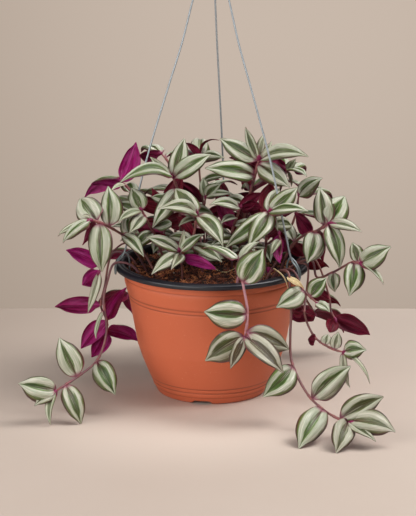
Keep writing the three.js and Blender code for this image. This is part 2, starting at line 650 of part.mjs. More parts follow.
// The inner wall from the floor up, moved in towards the axis by the inset.
function innerWall(inset) {
  return POT_WALL
    .filter(([, height]) => INNER_HEIGHTS.includes(height))
    .map(([radius, height]) => [radius - WALL - inset, height]);
}

function potSolid() {
  const rimUnderside = POT_HEIGHT - RIM_TOP_THICKNESS;
  const rimEdge = POT_HEIGHT - RIM_BAND;
  const skirtInside = RIM_RADIUS - WALL;
  const outside = [
    [0, 0],
    ...POT_WALL,
    [RIM_INNER_RADIUS + WALL, rimUnderside],
    [skirtInside, rimUnderside],
    [skirtInside, rimEdge],
    [RIM_RADIUS, rimEdge],
    [RIM_RADIUS, POT_HEIGHT - RIM_CHAMFER],
    [RIM_RADIUS - RIM_CHAMFER, POT_HEIGHT],
    [RIM_INNER_RADIUS + RIM_CHAMFER, POT_HEIGHT],
    [RIM_INNER_RADIUS, POT_HEIGHT - RIM_CHAMFER],
  ];
  const inside = innerWall(0).reverse();
  const filled = turned([[0, 0], ...POT_WALL, [0, POT_WALL.at(-1)[1]]]);
  const azimuths = drainAzimuths();
  const roofed = azimuths.reduce(
    (pot, azimuth) => pot.add(drainSolid(azimuth, FLOOR).intersect(filled)),
    turned([...outside, ...inside, [0, FLOOR]]),
  );
  return azimuths.reduce(
    (pot, azimuth) => pot.subtract(drainSolid(azimuth, 0)).subtract(drainHole(azimuth)),
    roofed,
  );
}

function drainAzimuths() {
  return Array.from({ length: DRAIN_COUNT }, (_, i) => DRAIN_AZIMUTH + (i * 360) / DRAIN_COUNT);
}

// The channel under the foot, or with a wall around it the outside of its raised roof.
function drainSolid(azimuth, wall) {
  const top = DRAIN_WIDTH_TOP / 2 + wall;
  const bottom = DRAIN_WIDTH_BOTTOM / 2 + wall;
  const underside = wall > 0 ? 0 : -OVERRUN;
  const outline = new THREE.Shape([
    new THREE.Vector2(-bottom, underside),
    new THREE.Vector2(bottom, underside),
    new THREE.Vector2(top, DRAIN_HEIGHT + wall),
    new THREE.Vector2(-top, DRAIN_HEIGHT + wall),
  ]);
  const start = DRAIN_INNER_RADIUS - wall;
  const options = { depth: DRAIN_OUTER_RADIUS - start, bevelEnabled: false };
  const geometry = new THREE.ExtrudeGeometry(outline, options);
  geometry.translate(0, 0, start);
  geometry.rotateX(Math.PI / 2);
  geometry.rotateZ(radians(azimuth + 90));
  return toSolid(geometry);
}

function drainHole(azimuth) {
  const out = (DRAIN_INNER_RADIUS + FOOT_RADIUS) / 2;
  const top = DRAIN_HEIGHT + FLOOR + OVERRUN;
  const hole = cylinder(DRAIN_HOLE_RADIUS, -OVERRUN, top, DRAIN_HOLE_SIDES);
  return hole.translate([
    out * Math.cos(radians(azimuth)),
    out * Math.sin(radians(azimuth)),
    0,
  ]);
}

function soilSolid() {
  const wall = innerWall(SOIL_CLEARANCE);
  const edge = wall.at(-1)[0];
  const surface = SOIL_SURFACE.map(
    ([out, rise]) => [edge * out, SOIL_EDGE_HEIGHT + SOIL_MOUND * rise],
  );
  const filled = turned([[0, FLOOR + CLEARANCE], ...wall, ...surface]);
  const seated = drainAzimuths().reduce(
    (soil, azimuth) => soil.subtract(drainSolid(azimuth, FLOOR + CLEARANCE)),
    filled,
  );
  return SHOOTS.reduce(
    (soil, { path, radius }) => soil.subtract(
      stemSolid(path.slice(0, ROOTED_POINTS), radius + CLEARANCE),
    ),
    seated,
  );
}

// ---- hanger ------------------------------------------------------------------------

function wireSolid({ azimuth, side }) {
  const cos = Math.cos(radians(azimuth));
  const sin = Math.sin(radians(azimuth));
  const place = ([out, height, sideways]) => new THREE.Vector3(
    out * cos - side * sideways * sin,
    out * sin + side * sideways * cos,
    height,
  );
  const stretch = (route, steps) => bar(route.map(place), WIRE_RADIUS, WIRE_SIDES, steps);
  return stretch(WIRE_END, 1)
    .add(stretch(WIRE_ROUTE, WIRE_STEPS))
    .add(stretch(CLIP_ROUTE, CLIP_STEPS));
}

function sleeveSolid() {
  const bore = cylinder(
    SLEEVE_INNER_RADIUS,
    SLEEVE_BOTTOM - OVERRUN,
    SLEEVE_TOP + OVERRUN,
    HANGER_SECTION_SIDES,
  );
  return cylinder(SLEEVE_OUTER_RADIUS, SLEEVE_BOTTOM, SLEEVE_TOP, HANGER_SECTION_SIDES)
    .subtract(bore);
}

function hookSolid() {
  const points = HOOK_ROUTE.map(([x, height]) => new THREE.Vector3(x, 0, height));
  return bar(points, HOOK_WIRE_RADIUS, HOOK_SIDES, HOOK_STEPS);
}

// ---- plant -------------------------------------------------------------------------

function stemSolid(path, radius) {
  return bar(path.map(vector), radius, STEM_SIDES, STEM_STEPS * (path.length - 1));
}

// Half of a leaf's width at t of its length, from 0 at the ends to 1 at the widest place.
function halfWidth(t) {
  const widest = ROUND_BASE / (ROUND_BASE + SHARP_TIP);
  return (t / widest) ** ROUND_BASE * ((1 - t) / (1 - widest)) ** SHARP_TIP;
}

// A folded, arching blade from base to tip. up is the way its upper side faces.
function leafSolid(base, tip, width, up, bow) {
  const along = tip.clone().sub(base);
  const length = along.length();
  along.normalize();
  const normal = vector(up).addScaledVector(along, -along.dot(vector(up))).normalize();
  const across = along.clone().cross(normal);
  // The poles of a four-sided sphere become the two ends of the blade.
  const geometry = new THREE.SphereGeometry(1, 4, LEAF_ROWS);
  const position = geometry.attributes.position;
  for (let i = 0; i < position.count; i += 1) {
    const t = Math.acos(THREE.MathUtils.clamp(position.getY(i), -1, 1)) / Math.PI;
    const ring = Math.hypot(position.getX(i), position.getZ(i));
    const pole = ring < WELD_DISTANCE;
    const half = pole ? 0 : (width / 2) * halfWidth(t);
    const side = pole ? 0 : -position.getX(i) / ring;
    const through = pole ? 0 : position.getZ(i) / ring;
    const arch = bow * length * 4 * t * (1 - t);
    const fold = half * Math.abs(side) * Math.sin(LEAF_FOLD);
    const point = base.clone()
      .addScaledVector(along, length * t)
      .addScaledVector(across, half * side * Math.cos(LEAF_FOLD))
      .addScaledVector(normal, arch + fold + (through * LEAF_THICKNESS) / 2);
    position.setXYZ(i, point.x, point.y, point.z);
  }
  return toSolid(geometry);
}

// The point on a stem at a fractional place in its path's list.
function stemPoint(path, at) {
  const last = path.length - 1;
  const curve = new THREE.CatmullRomCurve3(path.map(vector));
  return curve.getPoint(Math.min(at, last - TIP_INSET) / last);
}

// A leaf that starts this far out from its stem's centre line, or behind it if negative.
function placedLeaf(shoot, [at, tip, width, up, bow], start) {
  const base = stemPoint(shoot.path, at);
  const end = vector(tip);
  const outward = end.clone().sub(base).normalize();
  return leafSolid(base.addScaledVector(outward, start), end, width, up, bow);
}

function joinedShootSolid(shoot, leaves) {
  return leaves.reduce(
    (solid, leaf) => solid.add(placedLeaf(shoot, leaf, -LEAF_ROOT)),
    stemSolid(shoot.path, shoot.radius),
  );
}

// ---- scene -------------------------------------------------------------------------

const group = new THREE.Group();

function addPiece(name, solid, look) {
  const mesh = new THREE.Mesh(toGeometry(solid), new THREE.MeshStandardMaterial(LOOKS[look]));
  mesh.name = name;
  group.add(mesh);
}

function addShoot(shoot) {
  const split = shoot.split ?? 0;
  const joined = shoot.leaves.filter(([at]) => at >= split);
  const loose = shoot.leaves.filter(([at]) => at < split);
  addPiece(shoot.name, joinedShootSolid(shoot, joined), "leaf");
  loose.forEach((leaf, i) => {
    const solid = placedLeaf(shoot, leaf, shoot.radius + CLEARANCE);
    addPiece(`${shoot.name}_leaf_${i + 1}`, solid, "leaf");
  });
}

addPiece("pot", potSolid(), "terracotta");
addPiece("soil", soilSolid(), "soil");
Object.entries(WIRES).forEach(([name, wire]) => addPiece(name, wireSolid(wire), "steel"));
addPiece("crimp_sleeve", sleeveSolid(), "steel");
addPiece("hanger_hook", hookSolid(), "steel");
SHOOTS.forEach(addShoot);

export default group;
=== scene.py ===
"""Looks of the potted tradescantia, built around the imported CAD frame, in metres."""

import math

import bpy
import numpy as np
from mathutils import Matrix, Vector


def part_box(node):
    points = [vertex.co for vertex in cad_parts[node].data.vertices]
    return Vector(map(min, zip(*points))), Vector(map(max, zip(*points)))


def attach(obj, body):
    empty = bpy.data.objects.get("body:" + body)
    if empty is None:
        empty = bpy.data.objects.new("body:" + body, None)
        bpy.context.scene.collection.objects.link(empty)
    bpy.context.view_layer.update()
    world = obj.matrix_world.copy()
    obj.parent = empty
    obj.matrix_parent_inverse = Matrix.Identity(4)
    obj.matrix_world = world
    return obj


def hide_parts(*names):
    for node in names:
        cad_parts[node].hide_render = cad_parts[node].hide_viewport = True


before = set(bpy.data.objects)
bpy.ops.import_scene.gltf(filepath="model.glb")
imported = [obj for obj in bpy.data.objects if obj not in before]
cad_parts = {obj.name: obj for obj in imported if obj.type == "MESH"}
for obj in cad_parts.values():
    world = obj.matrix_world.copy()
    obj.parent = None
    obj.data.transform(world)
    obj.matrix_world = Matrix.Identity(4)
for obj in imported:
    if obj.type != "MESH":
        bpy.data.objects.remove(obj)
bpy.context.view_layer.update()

# ---- driving dimensions ------------------------------------------------------------
# Lengths are in millimetres here, as on the CAD model. MM turns them into metres.

MM = 0.001
POT_HEIGHT = (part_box("pot")[1] / MM).z
LINER = 0.7
LAYER_GAP = 0.05
FLOOR = 2
FLOOR_RADIUS = 55
# A turned outline starts and ends this far from the axis, in steps no longer than these.
AXIS_RADIUS = 0.5
OUTLINE_STEP = 2.4
HIDDEN_STEP = 3
TURNED_SIDES = 180

# The outside of the pot from the foot to the rim, [radius, height].
POT_WALL = [
    [54.5, 0], [56.6, 0.9], [58, 3], [59.8, 6.9], [60.1, 7.2], [60.1, 7.7], [60.9, 8.3],
    [61.9, 12.1], [61.8, 12.5], [61.9, 12.9], [62.7, 13.5], [63.7, 16.9], [63.6, 17.3],
    [63.7, 17.7], [64.8, 18.5], [66.2, 21.6], [72, 36], [77, 51], [80.5, 71], [84, 91],
    [85.9, 101.2], [85.2, 101.9], [85.2, 102.3], [86.3, 103], [86.7, 105], [86, 105.8],
    [86, 106.2], [87.4, 107], [88.6, 112], [90.2, 118], [90.5, 122.6], [90, 123.2],
    [90, 123.6], [90.7, 124.2],
]
# The heights of the grooves and ribs that get a line of painted shade, with how dark it is.
GROOVE_SHADE = [[7.4, 0.3], [12.5, 0.45], [17.3, 0.45], [102.1, 0.5], [106, 0.5], [123.4, 0.3]]
# The flutes and lips of the rolled rim, from inside the shell round to the inner wall.
RIM_OUTLINE = [
    [91.8, -2.4], [97.6, -2.4], [98.4, -2.9], [98.6, -5], [99, -5.5], [99.6, -5.4],
    [99.9, -4.9], [99.9, -2.8], [99.8, -1.5], [99.2, -0.8], [98.4, -0.25], [97.4, 0],
    [95.6, 0], [95.3, -0.35], [94.7, -0.35], [94.4, 0], [92.6, 0], [91.3, -0.3],
    [90.5, -1.1], [90.2, -2.4],
]
INNER_WALL = [
    [88.8, 118], [86, 104.5], [82.6, 91], [79.1, 71], [75.6, 51], [70.6, 36], [64, 18],
    [60.8, 13.5], [56.6, 3], [54, 2],
]
DRAIN_COUNT = 4
DRAIN_AZIMUTH = 259.3
DRAIN_HEIGHT = 3.5
DRAIN_HALF_TOP = 8
DRAIN_HALF_BOTTOM = 10.5
DRAIN_INNER_RADIUS = 40
DRAIN_ROOF = 1.6

SOIL_RADIUS = 88.3
SOIL_EDGE_HEIGHT = 128.5
SOIL_MOUND = 3
# The soil's side and bottom below its edge, [radius, height].
SOIL_SIDE = [[88.2, 118], [78, 66], [62, 20], [55, 8], [1, 8]]
TUFT_COUNT = 520
FIBRES_IN_TUFT = 11
CHIP_COUNT = 700
PERLITE_COUNT = 24

WIRE_RADIUS = 0.95
WIRES = {
    "wire_left": {"azimuth": 197, "side": -1},
    "wire_right": {"azimuth": 328.5, "side": 1},
    "wire_back": {"azimuth": 81, "side": 1},
}
# One wire from the sleeve down to its hairpin clip, [distance out, height, sideways].
WIRE_ROUTE = [
    [2.4, 476, 0], [2.4, 466, 0], [2.4, 457, 0], [2.7, 453, 0], [5.5, 443, 0],
    [16, 420, 0], [31.6, 364, 0], [45.8, 321, 0], [69.6, 246, 0], [88, 172, 0],
    [93.1, 153, 0], [95.6, 148, 0], [100, 143.4, 0], [102.1, 138.5, 0],
    [102.2, 132.6, 0.2], [102.2, 130.4, 1.8],
    [102.2, 132.6, 3.4], [101.9, 138.5, 3.6], [96.4, 148, 3.6], [91, 151.4, 3.6],
    [87.4, 146, 3.6], [86.8, 138, 3.6], [86.8, 130, 3.6],
]
SLEEVE_OUTER_RADIUS = 4.6
SLEEVE_INNER_RADIUS = 3.65
HOOK_WIRE_RADIUS = 1.2
HOOK_ROUTE = [
    [0, 459], [0, 478], [0, 492], [-3, 500], [-10, 506], [-12, 515], [-8, 524],
    [0, 528], [8, 524], [12, 515], [10.5, 507],
]

# The dry bract: [base], [tip], width, the way it faces and its bow. Then dead stems, each
# a route and a radius.
BRACT = [[75, -70.5, 138.3], [91.5, -86, 131], 7, [0.2, -0.6, 0.8], 0.1]
DRY_STEMS = [
    [[[60, -56, 144], [66, -62, 142], [71, -68, 139], [74.5, -73, 133], [76, -76, 127]], 0.85],
    [[[4, -26, 134.6], [9, -29, 133], [14, -30, 132.8], [19, -27, 133.6], [24, -22, 135]], 0.6],
]

# A blade's half width along its length is t^ROUND_BASE * (1 - t)^SHARP_TIP.
ROUND_BASE = 0.52
SHARP_TIP = 0.82
LEAF_FULLNESS = 1.04
LEAF_THICKNESS = 0.5
LEAF_ROWS = 28
LEAF_COLUMNS = 14
LEAST_HEIGHT = 0.35
TIP_INSET = 0.12
CREASE = 0.1
STEM_SIDES = 10
SHEATH_LENGTH = 6.5
YOUNG_WIDTH = 14

# What tells one shoot from another. From 0 to 1: brown stripes on the leaves that are joined
# to the stem, or on those from the place "brown_from" on, undersides from dark maroon to bright
# magenta, a pale stem. The underside's maroon is partly its own tone and partly painted shade on
# the inner shoots; its bright magenta is painted light on the lit outer ones.
# A bud is [length, radius, lean], with no lean where it grows straight on. The leaves are
# "full" times as wide as on the CAD model.
USUAL = {"brown": 0.12, "under": 0.12, "pale": 0.1, "bud": [6, 1.6], "full": 1}
SPECIAL = {
    "left_trail": {"pale": 0.35, "bud": [14, 2.9, (0.1, -0.5, -1.2)]},
    "left_hang": {"under": 0.8},
    "left_purple": {"under": 0.85},
    "left_shoulder": {"bud": [8, 1.9, (-0.3, -0.5, -0.2)]},
    "left_back_high": {"under": 0.85, "pale": 0.3},
    "back_upper_left": {"under": 0.25},
    "centre_rosette": {"brown": 0.25},
    "low_rosette": {"under": 0.95, "brown": 0.2},
    "centre_right": {"brown": 0.3, "bud": [9, 2, (0.2, -0.6, 0)]},
    "right_top": {"brown": 0.2, "bud": [9, 2.2, (-0.3, -0.6, 0)]},
    "right_shoulder": {"brown": 0.2, "bud": [13, 2, (0.6, -0.6, -0.4)]},
    "far_right": {"bud": [12, 2.6, (0.3, -0.6, -0.5)]},
    "right_trail": {"brown": 0.45, "pale": 0.15, "bud": [12, 3.4, (0, -0.9, -0.3)]},
    "right_hang_b": {"under": 0.1},
    "right_hang_c": {"under": 0.1, "bud": [9, 2.4, (0, -0.6, 0)]},
    "front_trail": {"brown": 0.85, "brown_from": 5.5, "pale": 0.9, "full": 1.14},
    "inner_right": {"under": 0.75},
    "inner_back_left": {"under": 0},
    "inner_back_mid": {"under": 0},
    "inner_back_right": {"under": 0},
    "middle_back": {"under": 0},
    "back_upright": {"under": 0.1},
}

# ---- plant layout ------------------------------------------------------------------
# The CAD's own layout. Every shoot is [name, the stem's radius, split, path, leaves]: a stem
# along its path, from its foot in the soil to the growing tip, and the leaves on it. Each leaf
# is [place in the path's list, tip, width, the way the upper side faces, bow as a part of the
# length]. Leaves placed before the split are CAD nodes of their own.
SHOOTS = [
    ["left_trail", 1.5, 8.5, [
        [-66, -26, 118], [-82, -30, 140], [-99, -34, 143], [-106, -38, 126], [-110, -42, 107],
        [-107, -52, 77], [-115, -70, 53], [-135, -94, 41], [-146, -103, 36], [-156, -110, 31],
    ], [
        [6.1, [-97, -92, 22], 24, [0.1, -1, 0.4], 0.12],
        [7, [-153, -88, 80], 25, [-0.2, -1, 0.3], 0.05],
        [8, [-130, -121, 0], 21, [0.2, -1, 0.3], 0.15],
        [9, [-192, -118, 42], 27, [0, -0.9, 0.6], 0.1],
        [9, [-176, -124, 21], 13, [0, -0.7, 0.7], 0.1],
        [9, [-160, -127, 1], 11, [-0.5, -0.8, 0.3], 0.15],
        [4.35, [-118, -66, 73], 8, [-0.7, -0.7, 0], 0.05],
    ]],
    ["left_hang", 1.4, 0, [
        [-72, 8, 118], [-86, 10, 140], [-102, 14, 142], [-112, 16, 104], [-116, 18, 84],
        [-110, 22, 67], [-110, 26, 54],
    ], [
        [4, [-164, 10, 86], 20, [0, 1, 0], 0.08], [5, [-137, 8, 40], 18, [0.2, 1, 0], 0.08],
        [6, [-126, 10, 30], 17, [-0.1, 1, 0], 0.08], [5, [-91, 46, 96], 18, [0, 1, 0.2], 0.05],
        [6, [-79, 52, 36], 20, [0, 1, 0.1], 0.05],
    ]],
    ["left_purple", 1.2, 0, [
        [-60, -16, 118], [-87, -18, 160], [-102, -30, 153], [-109, -40, 146], [-114, -48, 138],
    ], [
        [3.4, [-147, -52, 162], 15, [0, 1, 0.1], 0.08],
        [4, [-131, -60, 127], 18, [0.3, 1, 0.2], 0.05],
        [4, [-126, -60, 98], 10, [-0.3, -1, 0.2], 0.08],
    ]],
    ["left_shoulder", 1.6, 0, [
        [-50, -32, 118], [-77, -36, 167], [-86, -44, 173], [-103, -58, 187], [-114, -66, 194],
        [-120, -70, 197],
    ], [
        [4, [-132, -46, 214], 28, [-0.1, -1, 0.5], 0.08],
        [3, [-104, -50, 227], 23, [0, -1, 0.2], 0.05],
        [3.8, [-110, -80, 146], 26, [-0.1, -1, 0.3], 0.12],
        [5, [-148, -86, 178], 15, [0, -0.3, 1], 0.1], [5, [-154, -74, 182], 10, [0, -0.3, 1], 0.08],
        [5, [-131, -66, 198], 8, [0, -1, 0.3], 0.1], [4.5, [-129, -60, 169], 9, [0.3, 1, 0], 0.1],
        [2.3, [-68, -66, 158], 15, [0.2, -1, 0.5], 0.15],
        [1.4, [-85, -30, 194], 16, [-0.2, -0.8, 0.8], 0.12],
        [0.8, [-48, -12, 168], 15, [0.2, 1, 0.4], 0.12],
    ]],
    ["mid_left", 1.5, 0, [
        [-42, -14, 118], [-57, -26, 168], [-65, -36, 187], [-71, -42, 201],
    ], [
        [3, [-81, -36, 222], 20, [-0.1, -1, 0.5], 0.08],
        [3, [-94, -60, 193], 11, [0, -0.5, 1], 0.15],
        [2.5, [-82, -62, 182], 14, [0.3, -1, 0.4], 0.12],
        [3, [-98, -40, 207], 14, [-0.2, -1, 0.6], 0.1],
        [1.5, [-41, -12, 181], 16, [0.2, -0.8, 0.8], 0.12],
        [1.3, [-79, -46, 160], 14, [-0.2, -1, 0.4], 0.12],
        [0.8, [-40, -48, 166], 16, [0, -0.8, 0.8], 0.14],
    ]],
    ["upper_left", 1.6, 0, [
        [-22, 4, 118], [-32, 2, 167], [-33, -4, 197], [-35, -8, 214], [-40, -14, 229],
    ], [
        [4, [-92, -46, 231], 22, [0, -0.6, 1], 0.22], [4, [-28, 8, 264], 20, [-0.2, -1, 0], 0.05],
        [4, [-1, -14, 252], 22, [0.1, -0.9, 0.6], 0.12],
        [4, [-63, -2, 247], 9, [-0.3, -1, 0.5], 0.1],
        [3, [-60, -38, 183], 19, [-0.1, -1, 0.5], 0.12],
        [2, [-63, 11, 202], 18, [-0.1, -0.8, 0.8], 0.12],
        [1.6, [2, 12, 184], 18, [0.2, -0.6, 1], 0.15],
        [0.6, [-8, -14, 150], 14, [0.2, -0.8, 0.8], 0.12],
    ]],
    ["back_upper_left", 1.4, 0, [
        [-26, 34, 118], [-32, 44, 165], [-44, 48, 228], [-53, 50, 240],
    ], [
        [3, [-76, 40, 240], 16, [-0.1, 1, 0.3], 0.1], [3, [-75, 88, 235], 20, [-0.3, 0.4, 1], 0.12],
        [2.5, [-14, 92, 222], 20, [0, 0.6, 1], 0.15],
        [1.5, [-74, 72, 188], 20, [-0.3, 0.3, 1], 0.15], [1, [-18, 84, 176], 20, [0, 0.6, 1], 0.15],
        [0.6, [-10, 28, 160], 16, [0.2, -0.6, 0.9], 0.12],
        [1, [-54, 26, 178], 15, [-0.2, 1, 0.4], 0.12],
    ]],
    ["back_upper_mid", 1.4, 0, [
        [-4, 28, 118], [-6, 34, 165], [-13, 38, 225], [-12, 40, 239],
    ], [
        [3, [13, 20, 241], 14, [0, -0.6, 1], 0.15], [3, [7, 44, 256], 10, [-0.4, 0.3, 1], 0.25],
        [3, [-27, 36, 254], 9, [0.3, 1, 0.3], 0.15], [3, [-12, 86, 246], 20, [0, 0.6, 1], 0.15],
        [1.3, [-40, 66, 182], 18, [-0.2, 0.3, 1], 0.15],
        [1.7, [16, 20, 222], 16, [0.1, -0.6, 0.9], 0.12],
        [1.4, [-36, 30, 214], 15, [-0.2, 1, 0.4], 0.12],
    ]],
    ["left_back_high", 1.4, 0, [
        [-48, 28, 118], [-60, 32, 150], [-74, 34, 185], [-86, 34, 205], [-94, 32, 214],
    ], [
        [4, [-79, 50, 252], 20, [0.2, 1, -0.1], 0.06],
        [4, [-125, 15, 214], 17, [0, 0.9, 0.45], 0.14], [4, [-134, 55, 193], 18, [0, 0.5, 1], 0.12],
        [3.5, [-104, 10, 209], 8, [0, -0.6, 0.8], 0.1],
        [2.5, [-92, 76, 198], 20, [-0.3, 0.5, 1], 0.15],
        [2, [-114, 62, 181], 18, [-0.2, -0.5, 1], 0.15],
        [1.2, [-107, 50, 162], 18, [-0.3, -0.4, 1], 0.15],
        [0.6, [-34, 12, 148], 14, [0.2, -0.8, 0.8], 0.12],
    ]],
    ["centre_rosette", 1.5, 0, [
        [-2, -34, 118], [-19, -38, 163], [-17, -42, 182], [-15, -46, 197],
    ], [
        [3, [-37, -24, 219], 26, [0.2, -1, 0.6], 0.08],
        [3, [-53, -70, 209], 20, [-0.1, -0.8, 0.8], 0.22],
        [2.6, [-33, -66, 190], 10, [-0.1, -0.8, 0.8], 0.1],
        [3, [11, -75, 172], 20, [0.3, -1, 0.5], 0.14],
        [1.2, [-45, -22, 167], 16, [-0.2, -0.8, 0.8], 0.12],
        [1, [10, -60, 152], 16, [0.2, -0.9, 0.7], 0.12],
        [2, [10, -28, 186], 16, [0.2, -0.7, 0.9], 0.12],
        [0.7, [12, -34, 148], 15, [0.2, -0.8, 0.9], 0.12],
        [1.2, [-36, -16, 188], 14, [0, 1, 0.4], 0.12],
    ]],
    ["middle", 1.4, 0, [
        [22, -6, 118], [20, -8, 166], [25, -12, 185], [29, -16, 197],
    ], [
        [3, [-2, -34, 205], 18, [0, -0.5, 1], 0.12], [3, [51, -4, 210], 14, [0.2, 1, 0.3], 0.1],
        [3, [51, -6, 195], 14, [0.1, 1, 0.3], 0.1], [2, [9, -34, 185], 11, [0, -0.7, 0.8], 0.12],
        [1.5, [51, -22, 177], 18, [0.2, -0.7, 0.9], 0.12],
        [1, [-6, -30, 168], 16, [-0.2, -0.8, 0.8], 0.12],
        [0.8, [-2, -30, 160], 16, [-0.2, -0.7, 0.9], 0.14],
        [1.4, [6, 2, 206], 15, [-0.2, 1, 0.4], 0.1],
    ]],
    ["middle_back", 1.3, 0, [
        [-6, 10, 118], [-8, 12, 160], [-8, 12, 192], [-6, 10, 203],
    ], [
        [3, [9, 2, 218], 14, [-0.2, -1, 0.5], 0.1], [3, [-9, 14, 222], 11, [-0.3, -1, 0.2], 0.1],
        [3, [22, -6, 209], 13, [0.1, -0.7, 0.9], 0.12], [2.5, [26, 52, 208], 18, [0, 0.6, 1], 0.15],
        [1.5, [-35, 32, 178], 18, [-0.2, -0.6, 1], 0.15],
        [1, [-24, -18, 176], 18, [-0.3, 1, 0.5], 0.12],
        [0.8, [12, -14, 150], 15, [0.2, -0.8, 0.9], 0.14],
        [1.5, [20, 26, 188], 15, [0.3, 1, 0.4], 0.12],
    ]],
    ["right_top", 1.7, 0, [
        [30, 8, 118], [32, 10, 165], [35, 6, 195], [40, 3, 211], [44, 0, 227], [48, -3, 245],
    ], [
        [4, [-7, -20, 239], 26, [-0.1, -1, 0.6], 0.08],
        [5, [8, 12, 263], 22, [-0.2, -1, 0.6], 0.06],
        [5, [97, -20, 252], 22, [0.1, -0.8, 0.8], 0.14],
        [4.5, [19, 25, 241], 16, [0, 1, 0.3], 0.08], [5, [34, 4, 277], 13, [-0.4, -1, 0.2], 0.06],
        [5, [54, 6, 270], 9, [0.2, -1, 0.3], 0.06], [5, [61, 0, 263], 8, [0.3, -1, 0.4], 0.08],
        [4.7, [79, -24, 220], 22, [0.3, -1, 0.4], 0.12], [2, [13, 26, 195], 18, [0, -0.6, 1], 0.12],
        [0.6, [44, -18, 152], 15, [0.2, -0.8, 0.8], 0.12],
    ]],
    ["back_right", 1.4, 0, [
        [52, 34, 118], [60, 42, 165], [74, 46, 210], [79, 44, 224],
    ], [
        [3, [58, 38, 231], 13, [-0.1, 1, 0.3], 0.1], [3, [87, 40, 236], 9, [0.1, -1, 0.5], 0.08],
        [3, [98, 22, 223], 16, [0.1, 0, 1], 0.1], [3, [83, 38, 207], 6, [0.6, -0.8, 0], 0.08],
        [2.5, [25, 50, 232], 16, [0, 1, 0.4], 0.12], [3, [100, 84, 214], 20, [0.3, 0.5, 1], 0.15],
        [2.6, [58, 96, 226], 20, [0, 0.6, 1], 0.15], [1.3, [53, 62, 186], 18, [0, -0.4, 1], 0.15],
        [2, [104, 62, 192], 18, [0.3, -0.2, 1], 0.15],
    ]],
    ["centre_right", 1.6, 0, [
        [52, -28, 118], [55, -32, 167], [57, -38, 184], [58, -44, 200],
    ], [
        [3, [86, -38, 223], 20, [0.1, -1, 0.6], 0.08],
        [2.7, [68, -22, 219], 18, [-0.1, -1, 0.6], 0.06],
        [3, [94, -72, 208], 20, [0.1, -0.8, 0.8], 0.12],
        [3, [66, -62, 184], 8, [0.2, -1, 0.3], 0.08],
        [3, [36, -74, 169], 24, [-0.2, -1, 0.3], 0.12],
        [2.9, [13, -56, 166], 18, [-0.2, -1, 0.5], 0.1],
        [2, [82, -22, 179], 18, [0.3, -0.8, 0.8], 0.12],
        [0.8, [30, -44, 160], 16, [-0.2, -0.8, 0.8], 0.12],
        [1.2, [76, -24, 184], 15, [0.3, 1, 0.4], 0.12],
    ]],
    ["right_shoulder", 1.6, 0, [
        [66, -12, 118], [81, -16, 156], [93, -22, 169], [107, -28, 176], [119, -32, 185],
    ], [
        [3.6, [109, -20, 219], 22, [-0.1, -1, 0.4], 0.05],
        [4, [135, -18, 210], 29, [0.1, -1, 0.6], 0.06],
        [4, [151, -46, 179], 13, [0.1, -0.8, 0.6], 0.1],
        [3.9, [129, -52, 143], 24, [0.3, -1, 0.2], 0.1],
        [2.8, [96, -46, 146], 24, [-0.1, -1, 0.3], 0.08],
        [2.5, [85, 0, 188], 18, [0, 1, 0.2], 0.08], [3, [114, -12, 139], 12, [0.1, 1, 0.2], 0.08],
        [1.3, [66, 4, 182], 16, [0, -0.8, 0.8], 0.12], [1.1, [96, -2, 141], 18, [0.1, 1, 0.3], 0.1],
        [0.8, [62, -6, 166], 15, [0, 1, 0.5], 0.12],
    ]],
    ["right_back_shoulder", 1.4, 0, [
        [62, 14, 118], [74, 16, 150], [86, 18, 180], [90, 20, 203],
    ], [
        [3, [113, 8, 223], 16, [0, -0.8, 1], 0.1], [3, [128, 58, 190], 20, [0.4, 0.2, 1], 0.15],
        [2, [130, 40, 160], 20, [0.4, 0, 1], 0.15], [3, [108, 44, 212], 16, [0.2, -0.2, 1], 0.12],
        [1, [112, 42, 132], 20, [0.5, 0.2, 1], 0.15],
        [0.7, [96, 2, 168], 16, [0.3, -0.7, 0.8], 0.12],
    ]],
    ["far_right", 1.5, 0, [
        [72, -26, 118], [86, -24, 140], [102, -24, 143], [107, -32, 128], [123, -42, 136],
        [141, -54, 149], [150, -60, 150],
    ], [
        [6, [178, -70, 170], 25, [0.1, -0.9, 0.7], 0.08],
        [6, [171, -82, 133], 12, [0.6, -0.7, 0.4], 0.12],
        [5.2, [137, -78, 121], 22, [-0.1, -1, 0.3], 0.08],
        [5.6, [141, -50, 169], 14, [-0.2, -1, 0.3], 0.08],
        [4, [124, -52, 118], 15, [-0.5, -0.9, 0.2], 0.05],
    ]],
    ["right_trail", 1.6, 9.1, [
        [54, -46, 118], [66, -57, 140], [76, -70, 143], [78, -77, 125], [79, -84, 106],
        [78, -92, 81], [79, -104, 62], [91, -132, 40], [103, -150, 30], [121, -166, 22],
        [134, -172, 20],
    ], [
        [6.2, [50, -128, 31], 26, [-0.2, -1, 0.3], 0.12],
        [7.6, [136, -132, 65], 25, [-0.2, -1, 0.5], 0.06],
        [8.3, [83, -194, 0], 27, [-0.1, -1, 0.4], 0.12],
        [9.8, [118, -208, 0], 25, [0.1, -1, 0.4], 0.12],
        [9.2, [167, -160, 42], 24, [-0.1, -1, 0.5], 0.08],
        [10, [176, -192, 17], 27, [0, -0.8, 0.8], 0.12],
        [10, [157, -200, 10], 14, [0.2, -0.8, 0.7], 0.08],
    ]],
    ["front_trail", 1.6, 6.5, [
        [24, -62, 118], [27, -74, 146], [28, -88, 158], [30, -103, 143], [34, -106, 121],
        [35, -107, 110], [34, -108, 97], [32, -109, 87],
    ], [
        [3.1, [50, -106, 176], 26, [0, -1, 0.3], 0.06],
        [5, [-8, -112, 114], 26, [0, -1, 0.2], 0.05], [7, [-7, -120, 66], 24, [-0.1, -1, 0.4], 0.1],
        [6.4, [77, -104, 73], 22, [0.1, -0.9, 0.7], 0.12],
        [7, [70, -136, 59], 22, [0.1, -1, 0.6], 0.1], [7, [18, -128, 60], 13, [0, -1, 0.4], 0.08],
        [1.7, [-10, -80, 172], 18, [0, 0.1, 1], 0.08],
